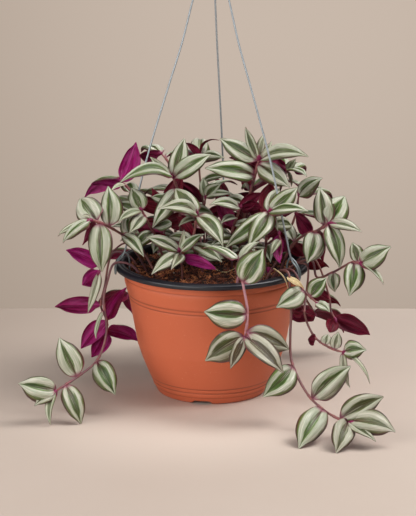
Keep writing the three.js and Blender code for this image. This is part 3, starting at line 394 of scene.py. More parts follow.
        [1.8, [49, -76, 176], 16, [-0.6, -0.1, 0.9], 0.1],
    ]],
    ["low_rosette", 1.3, 0, [
        [-30, -48, 118], [-30, -50, 140], [-33, -54, 162],
    ], [
        [2, [-66, -56, 176], 16, [-0.1, -0.7, 1], 0.12],
        [2, [-28, -50, 182], 7, [-0.2, -1, 0.2], 0.05],
        [2, [-8, -54, 179], 16, [0.1, -0.7, 1], 0.12],
        [1.8, [-60, -82, 145], 16, [-0.3, -1, 0.6], 0.12],
        [1.8, [-40, -84, 151], 12, [0.1, -0.9, 0.6], 0.1],
        [1.6, [4, -72, 146], 13, [0.1, 1, 0.2], 0.1],
    ]],
    ["right_hang_a", 1.4, 0, [
        [60, -36, 118], [70, -52, 140], [82, -66, 143], [91, -74, 126], [98, -78, 120],
        [105, -82, 114],
    ], [
        [3, [64, -94, 114], 22, [-0.2, -1, 0.3], 0.08],
        [4, [114, -80, 140], 18, [-0.2, -1, 0.3], 0.08],
        [5, [117, -92, 108], 14, [0, -0.6, 0.9], 0.15],
    ]],
    ["right_hang_b", 1.3, 0, [
        [78, -6, 118], [90, -4, 140], [104, -6, 142], [121, -20, 101], [122, -26, 91],
        [126, -32, 84],
    ], [
        [3, [102, -34, 117], 12, [0, 1, 0], 0.08], [5, [162, -44, 71], 17, [0.1, 1, 0.1], 0.1],
        [5, [120, -46, 73], 13, [0.3, 1, 0.1], 0.1],
    ]],
    ["right_hang_c", 1.4, 0, [
        [74, -28, 118], [82, -33, 140], [96, -40, 143], [95, -54, 114], [93, -68, 101],
        [97, -74, 88], [105, -82, 77], [122, -92, 69], [132, -98, 68],
    ], [
        [4, [104, -74, 99], 12, [0.3, 1, 0.3], 0.1], [4, [81, -72, 103], 12, [0, 1, 0], 0.08],
        [6, [96, -84, 77], 14, [0, 1, 0.2], 0.1], [6.5, [116, -84, 83], 12, [-0.3, -1, 0.1], 0.08],
        [7, [126, -90, 87], 12, [-0.3, -1, 0.2], 0.05],
        [8, [153, -106, 73], 18, [0, -0.9, 0.6], 0.2],
        [8, [136, -116, 37], 10, [-0.6, -0.8, 0.3], 0.1],
        [8, [157, -120, 43], 6, [0.5, -0.8, 0.3], 0.15],
    ]],
    ["back_trail", 1.5, 6.5, [
        [-8, 50, 118], [-12, 80, 140], [-14, 102, 143], [-16, 112, 125], [-14, 116, 95],
        [-12, 120, 65], [-4, 128, 38], [10, 140, 20], [24, 152, 10],
    ], [
        [3, [-58, 126, 118], 22, [-0.2, 1, 0.3], 0.1], [4, [32, 126, 80], 22, [0.2, 1, 0.3], 0.1],
        [5, [-54, 138, 48], 22, [-0.2, 1, 0.4], 0.12], [6, [40, 140, 44], 22, [0.3, 0.8, 0.6], 0.1],
        [7, [-30, 160, 3], 22, [0, 0.6, 1], 0.12], [8, [66, 162, 4], 20, [0.2, 0.4, 1], 0.12],
        [8, [34, 192, 3], 20, [0, 0.6, 1], 0.15], [1.2, [22, 104, 146], 18, [0.1, 0.6, 1], 0.15],
    ]],
    ["back_left_trail", 1.5, 0, [
        [-44, 36, 118], [-60, 60, 140], [-72, 74, 143], [-80, 84, 122], [-86, 90, 96],
        [-90, 94, 74],
    ], [
        [2.4, [-60, 116, 150], 22, [0, 1, 0.6], 0.12],
        [3, [-118, 108, 110], 22, [-0.5, 0.8, 0.4], 0.1],
        [4, [-52, 112, 80], 20, [0.1, 1, 0.3], 0.1],
        [5, [-126, 112, 56], 22, [-0.5, 0.8, 0.4], 0.12],
        [5, [-84, 124, 42], 20, [0, 1, 0.5], 0.12],
        [1.3, [-96, 38, 148], 18, [-0.4, -0.2, 1], 0.15],
    ]],
    ["back_right_trail", 1.5, 0, [
        [48, 54, 118], [60, 62, 140], [74, 72, 143], [84, 82, 122], [92, 88, 98], [100, 94, 74],
        [112, 102, 52],
    ], [
        [2.4, [66, 116, 150], 22, [0, 1, 0.6], 0.12], [3, [126, 84, 108], 22, [0.6, 0.6, 0.5], 0.1],
        [4, [58, 120, 86], 20, [0, 1, 0.3], 0.1], [5, [140, 96, 64], 22, [0.5, 0.6, 0.6], 0.1],
        [6, [84, 134, 34], 22, [0, 1, 0.5], 0.12], [6, [146, 124, 26], 22, [0.5, 0.6, 0.6], 0.15],
        [1.3, [96, 40, 152], 18, [0.4, 0, 1], 0.15],
    ]],
    ["back_upright", 1.5, 0, [
        [32, 50, 118], [36, 58, 160], [41, 64, 200],
    ], [
        [2, [24, 96, 226], 22, [-0.2, 0.8, 0.8], 0.12],
        [1.8, [80, 88, 209], 22, [0.2, 0.8, 0.8], 0.12], [2, [44, 110, 184], 22, [0, 1, 0.7], 0.18],
        [1.2, [70, 96, 158], 20, [0.2, 1, 0.6], 0.15],
        [1.45, [32, 106, 151], 18, [0, 1, 0.6], 0.15],
        [0.7, [58, 30, 152], 18, [0.3, -0.7, 0.8], 0.12],
        [1, [14, 48, 178], 14, [-0.2, 1, 0.4], 0.12],
    ]],
    ["back_low_left", 1.4, 0, [
        [-32, 58, 118], [-38, 66, 150], [-44, 74, 178],
    ], [
        [2, [-82, 92, 192], 22, [-0.4, 0.6, 1], 0.12], [2, [-34, 118, 170], 22, [0, 1, 0.6], 0.18],
        [1.3, [-84, 96, 150], 20, [-0.4, 0.8, 0.7], 0.15],
        [0.8, [-64, 40, 160], 18, [-0.3, -0.7, 0.8], 0.12],
        [1.1, [-18, 48, 168], 14, [0.3, 1, 0.4], 0.12],
    ]],
    ["inner_back_left", 1.4, 0, [
        [-50, 4, 118], [-50, 8, 155], [-46, 12, 192],
    ], [
        [2, [-84, 8, 200], 18, [-0.4, 1, 0.3], 0.12], [2, [-30, 18, 224], 18, [0.1, 1, 0.2], 0.1],
        [1.5, [-18, 0, 178], 18, [0.2, 1, 0.4], 0.12],
        [1.2, [-80, 20, 166], 18, [-0.2, 1, 0.5], 0.12],
        [1, [-60, -20, 150], 16, [-0.2, -0.8, 0.8], 0.12],
        [0.7, [-30, -18, 146], 16, [0.3, -0.8, 0.8], 0.12],
        [1.6, [-62, 34, 206], 16, [-0.2, 1, 0.5], 0.12],
        [0.9, [-24, 30, 158], 16, [0.3, 0.8, 0.6], 0.12],
    ]],
    ["inner_back_mid", 1.4, 0, [
        [10, 30, 118], [10, 34, 150], [14, 38, 184],
    ], [
        [2, [44, 34, 202], 18, [0.2, 1, 0.3], 0.12], [2, [4, 62, 212], 18, [0, 1, 0.4], 0.1],
        [1.4, [38, 20, 172], 18, [0.2, 1, 0.5], 0.12],
        [1.2, [-16, 60, 168], 18, [-0.2, 1, 0.5], 0.12],
        [1, [14, 2, 146], 16, [0.1, -0.8, 0.8], 0.12],
        [0.6, [30, 22, 144], 14, [0.3, -0.8, 0.8], 0.12],
    ]],
    ["inner_back_right", 1.4, 0, [
        [52, 14, 118], [56, 14, 150], [58, 12, 184],
    ], [
        [2, [88, 0, 196], 18, [0.3, 1, 0.3], 0.12], [2, [62, 26, 216], 18, [-0.2, 1, 0.2], 0.1],
        [1.4, [42, -12, 168], 18, [-0.2, 1, 0.5], 0.12],
        [1.2, [78, 36, 170], 18, [0.2, 1, 0.4], 0.12],
        [1, [60, -18, 140], 16, [0.1, -0.8, 0.8], 0.12],
        [1.6, [34, 32, 198], 17, [-0.2, 1, 0.4], 0.12],
    ]],
    ["inner_right", 1.2, 0, [
        [48, -62, 118], [56, -66, 138], [69, -62, 164], [67, -58, 181],
    ], [
        [3, [67, -74, 153], 14, [-0.6, 1, 0], 0.1], [1.3, [56, -62, 140], 8, [0, 1, 0.3], 0.08],
        [2.6, [59, -72, 161], 9, [-0.2, -0.8, 0.7], 0.2],
    ]],
]

# ---- curves and meshes -------------------------------------------------------------


def catmull(points, places):
    """Points on the centripetal Catmull-Rom curve at fractional places in its list."""
    points = np.array(points, float)
    first = 2 * points[0] - points[1]
    last = 2 * points[-1] - points[-2]
    padded = np.vstack([first, points, last])
    found = []
    for place in places:
        i = min(int(place), len(points) - 2)
        w = place - i
        p0, p1, p2, p3 = padded[i : i + 4]
        d0, d1, d2 = (
            max(math.sqrt(np.linalg.norm(b - a)), 1e-4) for a, b in ((p0, p1), (p1, p2), (p2, p3))
        )
        leave = ((p1 - p0) / d0 - (p2 - p0) / (d0 + d1) + (p2 - p1) / d1) * d1
        arrive = ((p2 - p1) / d1 - (p3 - p1) / (d1 + d2) + (p3 - p2) / d2) * d1
        bend = -3 * p1 + 3 * p2 - 2 * leave - arrive
        rest = 2 * p1 - 2 * p2 + leave + arrive
        found.append(p1 + leave * w + bend * w * w + rest * w**3)
    return np.array(found)


def unit(vectors):
    lengths = np.linalg.norm(vectors, axis=-1, keepdims=True)
    return vectors / np.maximum(lengths, 1e-9)


def smooth(low, high, value):
    t = np.clip((value - low) / (high - low), 0, 1)
    return t * t * (3 - 2 * t)


def travelled(path):
    """The distance along a path at each of its points."""
    return np.concatenate([[0], np.cumsum(np.linalg.norm(np.diff(path, axis=0), axis=1))])


def stations_on(path, along, stations):
    """The points of a path at these distances along it."""
    return np.array([np.interp(stations, along, path[:, k]) for k in range(3)]).T


def resample(points, step):
    """The smooth curve through the points, with even steps of about this length."""
    curve = catmull(points, np.linspace(0, len(points) - 1, 24 * (len(points) - 1) + 1))
    along = travelled(curve)
    return stations_on(curve, along, np.linspace(0, along[-1], max(3, int(along[-1] / step))))


def around(sides):
    return np.linspace(0, 2 * math.pi, sides, endpoint=False)


def circle(radius, height, sides):
    """One level ring about Z. The radius may be a list, one for each side."""
    angles = around(sides)
    return np.stack([radius * np.cos(angles), radius * np.sin(angles), 0 * angles + height], axis=1)


def link(name, data):
    """A new object in the scene for a mesh, light or camera."""
    thing = bpy.data.objects.new(name, data)
    bpy.context.scene.collection.objects.link(thing)
    return thing


class Soup:
    """Vertices, faces and point attributes that grow piece by piece into one mesh."""

    def __init__(self):
        self.points, self.faces, self.attributes, self.count = [], [], {}, 0

    def add(self, points, faces, **attributes):
        points = np.asarray(points, float).reshape(-1, 3)
        self.points.append(points)
        self.faces += [tuple(i + self.count for i in face) for face in faces]
        for name, values in attributes.items():
            full = np.broadcast_to(np.asarray(values, float), (len(points), 3))
            self.attributes.setdefault(name, []).append(full)
        self.count += len(points)
        return self

    def build(self, name, look, *nodes):
        """Makes the finished piece on the frame, in place of the CAD nodes named."""
        material, slot = look
        mesh = bpy.data.meshes.new(name)
        mesh.from_pydata((np.vstack(self.points) * MM).tolist(), [], self.faces)
        mesh.update()
        for key, values in self.attributes.items():
            attribute = mesh.attributes.new(key, "FLOAT_VECTOR", "POINT")
            attribute.data.foreach_set("vector", np.vstack(values).astype(np.float32).ravel())
        mesh.polygons.foreach_set("use_smooth", [True] * len(mesh.polygons))
        mesh.materials.append(material)
        piece = link(name, mesh)
        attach(piece, "root")
        if nodes:
            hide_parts(*nodes)


def ring_faces(rings, sides, looped=False):
    """Faces of a tube of rings stored one after another: capped, or joined end to end."""
    faces = []
    for i in range(rings if looped else rings - 1):
        for j in range(sides):
            k = (j + 1) % sides
            a, b = i * sides, (i + 1) % rings * sides
            faces.append((a + j, a + k, b + k, b + j))
    if not looped:
        faces.append(tuple(range(sides - 1, -1, -1)))
        faces.append(tuple((rings - 1) * sides + j for j in range(sides)))
    return faces


def flipped(faces):
    return [face[::-1] for face in faces]


def tube(path, radii, sides):
    """The points of a round bar along the path, ring by ring, turning as little as can be."""
    tangents = unit(np.gradient(path, axis=0))
    start = np.array([0, 0, 1.0]) if abs(tangents[0][2]) < 0.9 else np.array([1.0, 0, 0])
    side = unit(np.cross(tangents[0], start))
    across = []
    for tangent in tangents:
        side = unit(side - tangent * np.dot(side, tangent))
        across.append(side)
    across = np.array(across)
    up = np.cross(tangents, across)
    angles = around(sides)[None, :, None]
    ring = across[:, None] * np.cos(angles) + up[:, None] * np.sin(angles)
    return (path[:, None] + ring * np.asarray(radii)[:, None, None]).reshape(-1, 3)


def rounded_ends(path, radius):
    """A path with its two ends drawn out into round noses, and the radius at each point."""
    along = travelled(path)
    nose = radius * (1 - np.cos(np.linspace(0.15, math.pi / 2, 5)))
    body = along[(along > radius) & (along < along[-1] - radius)]
    stations = np.unique(np.concatenate([nose, body, along[-1] - nose]))
    from_end = np.minimum(stations, along[-1] - stations)
    radii = radius * np.sqrt(np.clip(1 - np.clip(1 - from_end / radius, 0, 1) ** 2, 0.01, 1))
    return stations_on(path, along, stations), radii


# ---- shaders -----------------------------------------------------------------------


def linear(red, green, blue):
    """A linear colour from the usual 0 to 255 values."""
    values = []
    for value in (red, green, blue):
        value /= 255
        values.append(value / 12.92 if value <= 0.04045 else ((value + 0.055) / 1.055) ** 2.4)
    return (*values, 1)


class Nodes:
    """A node tree, with a short call for each kind of node used here."""

    def __init__(self, owner):
        owner.use_nodes = True
        self.tree = owner.node_tree

    def put(self, socket, value):
        if isinstance(value, bpy.types.NodeSocket):
            self.tree.links.new(value, socket)
        else:
            socket.default_value = value

    def node(self, kind, values, output=0, **settings):
        """One output of a new node. The values are a list, or keyed by input."""
        node = self.tree.nodes.new(kind)
        for key, value in settings.items():
            setattr(node, key, value)
        for key, value in (values.items() if isinstance(values, dict) else enumerate(values)):
            self.put(node.inputs[key], value)
        return node.outputs[output]

    def math(self, operation, *values):
        return self.node("ShaderNodeMath", values, operation=operation)

    def times(self, first, second):
        return self.math("MULTIPLY", first, second)

    def minus(self, first, second):
        return self.math("SUBTRACT", first, second)

    def fused(self, first, second, third):
        """first * second + third"""
        return self.math("MULTIPLY_ADD", first, second, third)

    def mix(self, factor, first, second):
        values = {0: factor, 6: first, 7: second}
        return self.node("ShaderNodeMix", values, 2, data_type="RGBA")

    def step(self, value, low, high, first=0.0, second=1.0):
        """A smooth step of value from first at low to second at high."""
        return self.node(
            "ShaderNodeMapRange", [value, low, high, first, second],
            interpolation_type="SMOOTHSTEP", clamp=True,
        )

    def vector(self, x, y, z):
        return self.node("ShaderNodeCombineXYZ", [x, y, z])

    def parts(self, vector):
        """The three numbers of a vector."""
        return self.node("ShaderNodeSeparateXYZ", [vector]).node.outputs[:3]

    def attribute(self, name):
        """The three numbers of a point attribute."""
        return self.parts(self.node("ShaderNodeAttribute", [], "Vector", attribute_name=name))

    def noise(self, vector, scale, detail=2.0, roughness=0.5):
        values = {"Vector": vector, "Scale": scale, "Detail": detail, "Roughness": roughness}
        return self.node("ShaderNodeTexNoise", values)

    def scaled(self, vector, factors):
        return self.node("ShaderNodeVectorMath", [vector, factors], operation="MULTIPLY")

    def distance(self, place, middle):
        return self.node("ShaderNodeVectorMath", [place, middle], "Value", operation="DISTANCE")

    def place(self, output="Object"):
        """Where the shaded point is in the frame, in metres."""
        return self.node("ShaderNodeTexCoord", [], output)

    def bump(self, height, strength, distance):
        values = {"Strength": strength, "Distance": distance, "Height": height}
        return self.node("ShaderNodeBump", values)


class Shader(Nodes):
    """A material. The names of its surface's inputs are written with underscores."""

    def __init__(self, name, roughness=0.5):
        self.material = bpy.data.materials.new(name)
        super().__init__(self.material)
        self.set(Roughness=roughness)

    def set(self, **values):
        for key, value in values.items():
            self.put(self.tree.nodes["Principled BSDF"].inputs[key.replace("_", " ")], value)

    def finish(self, colour, normal, **more):
        self.set(Base_Color=colour, Normal=normal, **more)
        return self.material


def leaf_material():
    """Silver bands on green above, purple below, from each blade's own coordinates."""
    s = Shader("striped_leaf")
    across, along, upper = s.attribute("leaf_place")
    seed, brown, young = s.attribute("leaf_look")
    tone = s.attribute("leaf_under")[0]
    off = s.math("ABSOLUTE", across)
    shift = s.times(seed, 60)
    wide = s.math("FRACT", s.times(seed, 17))
    bright_leaf = s.math("FRACT", s.times(seed, 41))

    def streaks(cycles, length, detail=3.0):
        where = s.vector(s.times(across, cycles), s.times(along, length), shift)
        return s.noise(where, 2, detail, 0.6)

    def blend(colour, noise, low, high, most, *other):
        """The colour, with as much of the other as the noise and the most allow."""
        return s.mix(s.step(noise, low, high, 0, most), colour, linear(*other))

    def between(noise, low, high, first, second):
        return s.mix(s.step(noise, low, high), linear(*first), linear(*second))

    broad, band = streaks(1.2, 1.1), streaks(2.4, 0.8)
    streak, fine = streaks(8, 0.9), streaks(26, 1.6, 2)
    ragged = s.math("ADD", off, s.fused(band, 0.5, s.fused(streak, 0.28, -0.39)))
    hump = s.times(s.times(along, 4), s.minus(1, along))
    stripe_edge = s.fused(s.times(hump, brown), 0.1, s.times(hump, s.fused(wide, 0.22, 0.14)))
    inside = s.minus(s.math("ADD", stripe_edge, 0.05), ragged)
    stripe = s.step(inside, -0.05, 0.05)
    margin_edge = s.minus(s.fused(hump, 0.04, 0.76), s.times(wide, 0.12))
    margin = s.step(s.minus(ragged, margin_edge), -0.08, 0.08)

    silver = between(band, 0.36, 0.62, (228, 227, 212), (176, 180, 158))
    silver = blend(silver, streak, 0.46, 0.66, 0.55, 148, 158, 130)
    silver = blend(silver, fine, 0.5, 0.74, 0.25, 118, 130, 96)
    silver = blend(silver, bright_leaf, 0.0, 1.0, 0.4, 158, 166, 142)
    mauve = s.times(brown, s.step(broad, 0.3, 0.6, 0.45, 0.85))
    silver = s.mix(mauve, silver, linear(152, 142, 124))

    green = between(inside, 0.0, 0.16, (88, 112, 42), (42, 64, 18))
    green = blend(green, streak, 0.42, 0.64, 0.7, 88, 122, 34)
    green = s.mix(brown, green, between(streak, 0.35, 0.65, (50, 34, 20), (88, 62, 40)))
    green = blend(green, off, 0.05, 0.0, 0.7, 90, 72, 48)
    inner = s.times(s.step(off, 0.2, 0.1), s.step(streaks(10, 0.7), 0.52, 0.6))
    inner = s.times(inner, s.step(along, 0.9, 0.3))
    green = s.mix(s.times(inner, 0.7), green, linear(170, 176, 148))
    flush = s.times(s.step(off, 0.28, 0.03), s.step(s.fused(broad, 1.1, along), 1.1, 0.5))
    green = s.mix(s.times(flush, 0.85), green, linear(84, 38, 42))

    rim = between(streak, 0.4, 0.65, (70, 92, 38), (106, 126, 62))
    browned = s.math("ADD", s.times(brown, 0.7), s.step(broad, 0.45, 0.65, 0, 0.3))
    rim = s.mix(browned, rim, linear(86, 60, 50))
    top = s.mix(margin, s.mix(stripe, silver, green), rim)
    top = s.mix(s.times(young, 0.4), top, linear(218, 218, 190))
    edge = s.step(s.fused(streak, 0.1, off), 0.9, 0.98)
    edge_colour = between(along, 0.4, 0.02, (74, 36, 40), (140, 30, 78))
    top = s.mix(s.times(edge, 0.9), top, edge_colour)
    top = s.mix(s.times(s.step(along, 0.13, 0.01), 0.85), top, linear(140, 34, 84))

    # Painted light and shade on the underside: lit magenta and shaded maroon copies of one purple,
    # mixed by how lit each leaf is painted.
    bright = between(band, 0.35, 0.65, (124, 3, 76), (168, 28, 120))
    bright = blend(bright, broad, 0.42, 0.66, 0.7, 180, 72, 142)
    shaded_maroon = between(band, 0.35, 0.65, (74, 9, 22), (124, 28, 46))
    below = s.mix(tone, shaded_maroon, bright)
    below = blend(below, streak, 0.5, 0.7, 0.3, 104, 14, 52)
    below = blend(below, off, 0.08, 0.0, 0.6, 76, 4, 40)

    s.set(
        Specular_IOR_Level=s.fused(upper, 0.42, 0.18), Subsurface_Weight=0.1,
        Subsurface_Radius=(1.0, 0.45, 0.6), Subsurface_Scale=0.001,
    )
    veins = s.bump(s.fused(fine, 0.5, streak), 0.7, 0.0008)
    return s.finish(s.mix(upper, below, top), veins, Roughness=s.fused(streak, 0.3, 0.22))


def stem_material():
    """Fleshy stem: purple-brown to tan or pink, with pale sheaths above the nodes."""
    s = Shader("fleshy_stem")
    sheath, pale, side = s.attribute("stem_place")
    patch = s.noise(s.place(), 60, 3)
    streak = s.noise(s.vector(s.times(side, 9), patch, 0), 3, 3, 0.6)
    colour = s.mix(s.step(patch, 0.38, 0.62), linear(64, 28, 30), linear(114, 68, 54))
    colour = s.mix(s.step(streak, 0.45, 0.65, 0, 0.6), colour, linear(98, 38, 46))
    colour = s.mix(s.times(pale, 0.9), colour, linear(206, 152, 162))
    covered = s.times(sheath, s.step(streak, 0.75, 0.4, 0.35, 0.85))
    colour = s.mix(covered, colour, linear(160, 92, 92))
    s.set(Subsurface_Weight=0.1, Subsurface_Radius=(1.0, 0.4, 0.45), Subsurface_Scale=0.0015)
    return s.finish(colour, s.bump(streak, 0.3, 0.0004), Roughness=s.fused(streak, 0.2, 0.36))


def bud_material():
    """Magenta sheath of a growing tip."""
    s = Shader("magenta_sheath", 0.4)
    ridge = s.noise(s.scaled(s.place(), (1, 1, 0.25)), 900, 2)
    s.set(Subsurface_Weight=0.12, Subsurface_Scale=0.0012)
    colour = s.mix(ridge, linear(96, 10, 52), linear(158, 48, 100))
    return s.finish(colour, s.bump(ridge, 0.3, 0.0004))


def dry_material():
    """Papery remains of an old leaf."""
    s = Shader("dry_bract", 0.75)
    across, along, upper = s.attribute("leaf_place")
    ribs = s.noise(s.vector(s.times(across, 16), s.times(along, 2), upper), 2, 3)
    colour = s.mix(s.step(ribs, 0.35, 0.65), linear(238, 224, 180), linear(176, 140, 84))
    colour = s.mix(s.step(along, 0.5, 1.0, 0, 0.6), colour, linear(132, 96, 56))
    return s.finish(colour, s.bump(ribs, 0.5, 0.0006))


def terracotta_material():
    """Matte terracotta plastic with faint flow marks, dust, and painted shade in its grooves."""
    s = Shader("terracotta_plastic")
    place = s.place()
    flow = s.noise(s.scaled(place, (1, 1, 0.35)), 14, 3)
    dust = s.noise(place, 420, 2)
    colour = s.mix(flow, linear(196, 98, 64), linear(208, 110, 76))
    colour = s.mix(s.step(dust, 0.66, 0.8, 0, 0.35), colour, linear(222, 150, 120))
    specks = s.step(s.noise(place, 700, 1), 0.78, 0.82, 0, 0.7)
    colour = s.mix(specks, colour, linear(120, 62, 40))
    height = s.parts(place)[2]
    # Painted shade: a dark line at each groove and rib, patchy with the flow marks.
    for middle, depth in GROOVE_SHADE:
        away = s.math("ABSOLUTE", s.minus(height, middle / 1000))
        shade_line = s.step(away, 0.0011, 0.0004, 0, depth)
        colour = s.mix(s.times(shade_line, s.step(flow, 0.2, 0.55, 0.6)), colour, linear(92, 44, 30))
    s.set(Specular_IOR_Level=0.35)
    grain = s.bump(s.noise(place, 2600, 2), 0.12, 0.0004)
    return s.finish(colour, grain, Roughness=s.fused(dust, 0.12, 0.46))


def black_plastic_material():
    """Black plastic of the rim and the inside, with scuffs along the lips."""
    s = Shader("black_plastic")
    place = s.place()
    scuff = s.noise(s.scaled(place, (1, 1, 5)), 160, 3, 0.6)
    colour = s.mix(s.step(scuff, 0.5, 0.75, 0, 0.5), linear(24, 25, 33), linear(44, 46, 57))
    dust = s.step(s.noise(place, 900, 2), 0.7, 0.8, 0, 0.5)
    colour = s.mix(dust, colour, linear(96, 82, 72))
    return s.finish(colour, s.bump(scuff, 0.15, 0.0004), Roughness=s.fused(scuff, 0.2, 0.26))


def soil_material():
    """The dark ground between the fibres."""
    s = Shader("potting_soil", 0.95)
    place = s.place()
    lumps, grains = s.noise(place, 180, 4, 0.7), s.noise(place, 900, 3, 0.7)
    colour = s.mix(s.step(lumps, 0.35, 0.7), linear(18, 9, 7), linear(92, 48, 34))
    colour = s.mix(s.step(grains, 0.6, 0.75, 0, 0.6), colour, linear(110, 62, 42))
    return s.finish(colour, s.bump(s.fused(grains, 0.5, lumps), 0.8, 0.002))


def fibre_material():
    """Coir and bark: each strand has its own brown, from nearly black to straw."""
    s = Shader("coir_fibre", 0.8)
    tone = s.attribute("fibre_look")[0]
    grain = s.noise(s.place(), 1500, 2)
    colour = s.mix(s.step(tone, 0.0, 0.55), linear(22, 9, 7), linear(124, 62, 40))
    colour = s.mix(s.step(tone, 0.5, 1.0), colour, linear(200, 126, 78))
    colour = s.mix(s.step(grain, 0.45, 0.75, 0, 0.5), colour, linear(84, 44, 26))
    return s.finish(colour, s.bump(grain, 0.4, 0.0004))


def perlite_material():
    s = Shader("perlite", 0.9)
    pits = s.noise(s.place(), 1800, 3)
    colour = s.mix(s.step(pits, 0.35, 0.6), linear(160, 140, 116), linear(236, 232, 222))
    return s.finish(colour, s.bump(pits, 0.7, 0.0005))


def steel_material():
    """Dull galvanised wire with a faint spangle, drawing marks and painted shade low down."""
    s = Shader("galvanised_steel")
    place = s.place()
    spangle = s.noise(place, 260, 3)
    marks = s.noise(s.scaled(place, (1, 1, 0.1)), 2400, 2)
    colour = s.mix(spangle, linear(158, 168, 176), linear(176, 184, 190))
    colour = s.mix(s.step(marks, 0.6, 0.8, 0, 0.2), colour, linear(126, 134, 142))
    # Painted shade: darker below 175 mm, down to the clips at the rim.
    low = s.step(s.parts(place)[2], 0.175, 0.14, 0, 0.75)
    colour = s.mix(low, colour, linear(112, 122, 122))
    s.set(Metallic=0.45)
    return s.finish(colour, s.bump(marks, 0.04, 0.0001), Roughness=s.fused(spangle, 0.2, 0.36))


# Each look is a material and a slot name; the slot name is not used.
LEAF = leaf_material(), "leaf"
STEM = stem_material(), "stem"
BUD = bud_material(), "leaf"
DRY = dry_material(), "dry_bract"
TERRACOTTA = terracotta_material(), "terracotta_plastic"
BLACK = black_plastic_material(), "black_plastic"
SOIL = soil_material(), "potting_soil"
FIBRE = fibre_material(), "potting_soil"
PERLITE = perlite_material(), "perlite"
STEEL = steel_material(), "galvanised_steel"

# ---- pot ---------------------------------------------------------------------------


def dense(outline, step):
    """The outline with points added so that no side is longer than the step."""
    found = []
    for (r0, h0), (r1, h1) in zip(outline, outline[1:]):
        count = max(1, math.ceil(math.hypot(r1 - r0, h1 - h0) / step))
        found += [[r0 + (r1 - r0) * i / count, h0 + (h1 - h0) * i / count] for i in range(count)]
    return found + [outline[-1]]


def lifted_drains(points, wall):
    """Raises the underside into a channel at each drain, with this much wall above it."""
    radius = np.hypot(points[:, 0], points[:, 1])
    azimuth = np.degrees(np.arctan2(points[:, 1], points[:, 0]))
    spacing = 360 / DRAIN_COUNT
    turn = (azimuth - DRAIN_AZIMUTH + spacing / 2) % spacing - spacing / 2
    beside = np.abs(radius * np.sin(np.radians(turn))) - wall
    flank = smooth(DRAIN_HALF_BOTTOM, DRAIN_HALF_TOP, beside)
    reach = smooth(DRAIN_INNER_RADIUS - 1.5 - wall, DRAIN_INNER_RADIUS - wall, radius)
    roof = (DRAIN_HEIGHT + wall) * flank * reach
    points[:, 2] = np.where(points[:, 2] < roof, roof, points[:, 2])
    return points


def turned(name, outline, wall, look, *nodes):
    """A closed body of revolution about Z. The outline runs round it, [radius, height]."""
    rings = [circle(radius, height, TURNED_SIDES) for radius, height in outline]
    points = lifted_drains(np.concatenate(rings), wall)
    Soup().add(points, ring_faces(len(rings), TURNED_SIDES, True)).build(name, look, *nodes)


def make_pot():
    """The terracotta shell, and the black liner with the rolled rim."""
    back = [[radius + LINER, height] for radius, height in INNER_WALL[:-1]]
    foot = [[FLOOR_RADIUS, FLOOR - LINER], [AXIS_RADIUS, FLOOR - LINER]]
    outside = dense([[AXIS_RADIUS, 0], *POT_WALL, [91, 133]], OUTLINE_STEP)
    inside = dense([[90.2, 133], *back, *foot], HIDDEN_STEP)
    turned("pot_shell", outside + inside, 0, TERRACOTTA, "pot")

    under = FLOOR - LINER + LAYER_GAP
    outer = [[radius + LINER - LAYER_GAP, height] for radius, height in reversed(INNER_WALL[:-1])]
    rim = [[radius, POT_HEIGHT + height] for radius, height in RIM_OUTLINE]
    liner = [
        [AXIS_RADIUS, under], [FLOOR_RADIUS, under], *outer, [90.1, 132.8], [90.4, 133.6],
        *rim, *INNER_WALL, [AXIS_RADIUS, FLOOR],
    ]
    turned("pot_liner_and_rim", dense(liner, OUTLINE_STEP), DRAIN_ROOF, BLACK)


# ---- soil --------------------------------------------------------------------------


def waves(x, y, seed):
    """A repeatable bumpy surface from a few crossed waves, from about -1 to 1."""
    rng = np.random.default_rng(seed)
    total = 0
    for scale in (14, 9, 5.5, 3.2):
        turn = rng.uniform(0, 2 * math.pi, 2)
        angle = rng.uniform(0, math.pi, 2)
        for k in range(2):
            run = x * math.cos(angle[k]) + y * math.sin(angle[k])
            total = total + np.sin(run * 2 * math.pi / scale + turn[k]) * scale / 40
    return total


def soil_height(x, y):
    out = np.hypot(x, y) / SOIL_RADIUS
    return SOIL_EDGE_HEIGHT + SOIL_MOUND * (1 - np.clip(out, 0, 1) ** 2) + 1.7 * waves(x, y, 4)


def make_soil():
    """The mounded ground as one closed body down to the pot's floor."""
    rings = [circle(radius, 0, TURNED_SIDES) for radius in np.linspace(1, SOIL_RADIUS, 56)]
    for ring in rings:
        ring[:, 2] = soil_height(ring[:, 0], ring[:, 1])
    rings += [circle(radius, height, TURNED_SIDES) for radius, height in SOIL_SIDE]
    faces = flipped(ring_faces(len(rings), TURNED_SIDES))
    Soup().add(np.concatenate(rings), faces).build("soil_body", SOIL, "soil")


def lying(rng, rise, spread):
    """A random direction, level but for a random tilt."""
    heading = rng.uniform(0, 2 * math.pi)
    tilt = rng.normal(rise, spread)
    level = math.cos(tilt)
    return np.array([math.cos(heading) * level, math.sin(heading) * level, math.sin(tilt)])


def scatter(rng):
    """A random place on the soil, with the direction of something lying there."""
    radius = (SOIL_RADIUS - 1.5) * math.sqrt(rng.uniform(0, 1))
    angle = rng.uniform(0, 2 * math.pi)
    x, y = radius * math.cos(angle), radius * math.sin(angle)
    return np.array([x, y, float(soil_height(x, y))]), lying(rng, 0, 0.35)


def clump(point):
    """How bright the fibres are around a point: lighter towards the front left, with random darker
    and lighter patches.
    """
    front = smooth(20, -60, point[1]) * smooth(40, -50, point[0])
    return float(np.clip(0.32 + 0.36 * front + 1.2 * waves(point[0], point[1], 21), 0, 1))


def inside_pot(path):
    """The path kept off the wall of the pot."""
    radius = np.hypot(path[:, 0], path[:, 1])
    shrink = np.minimum(1, (SOIL_RADIUS - 0.6) / np.maximum(radius, 1e-6))
    path[:, :2] *= shrink[:, None]
    return path


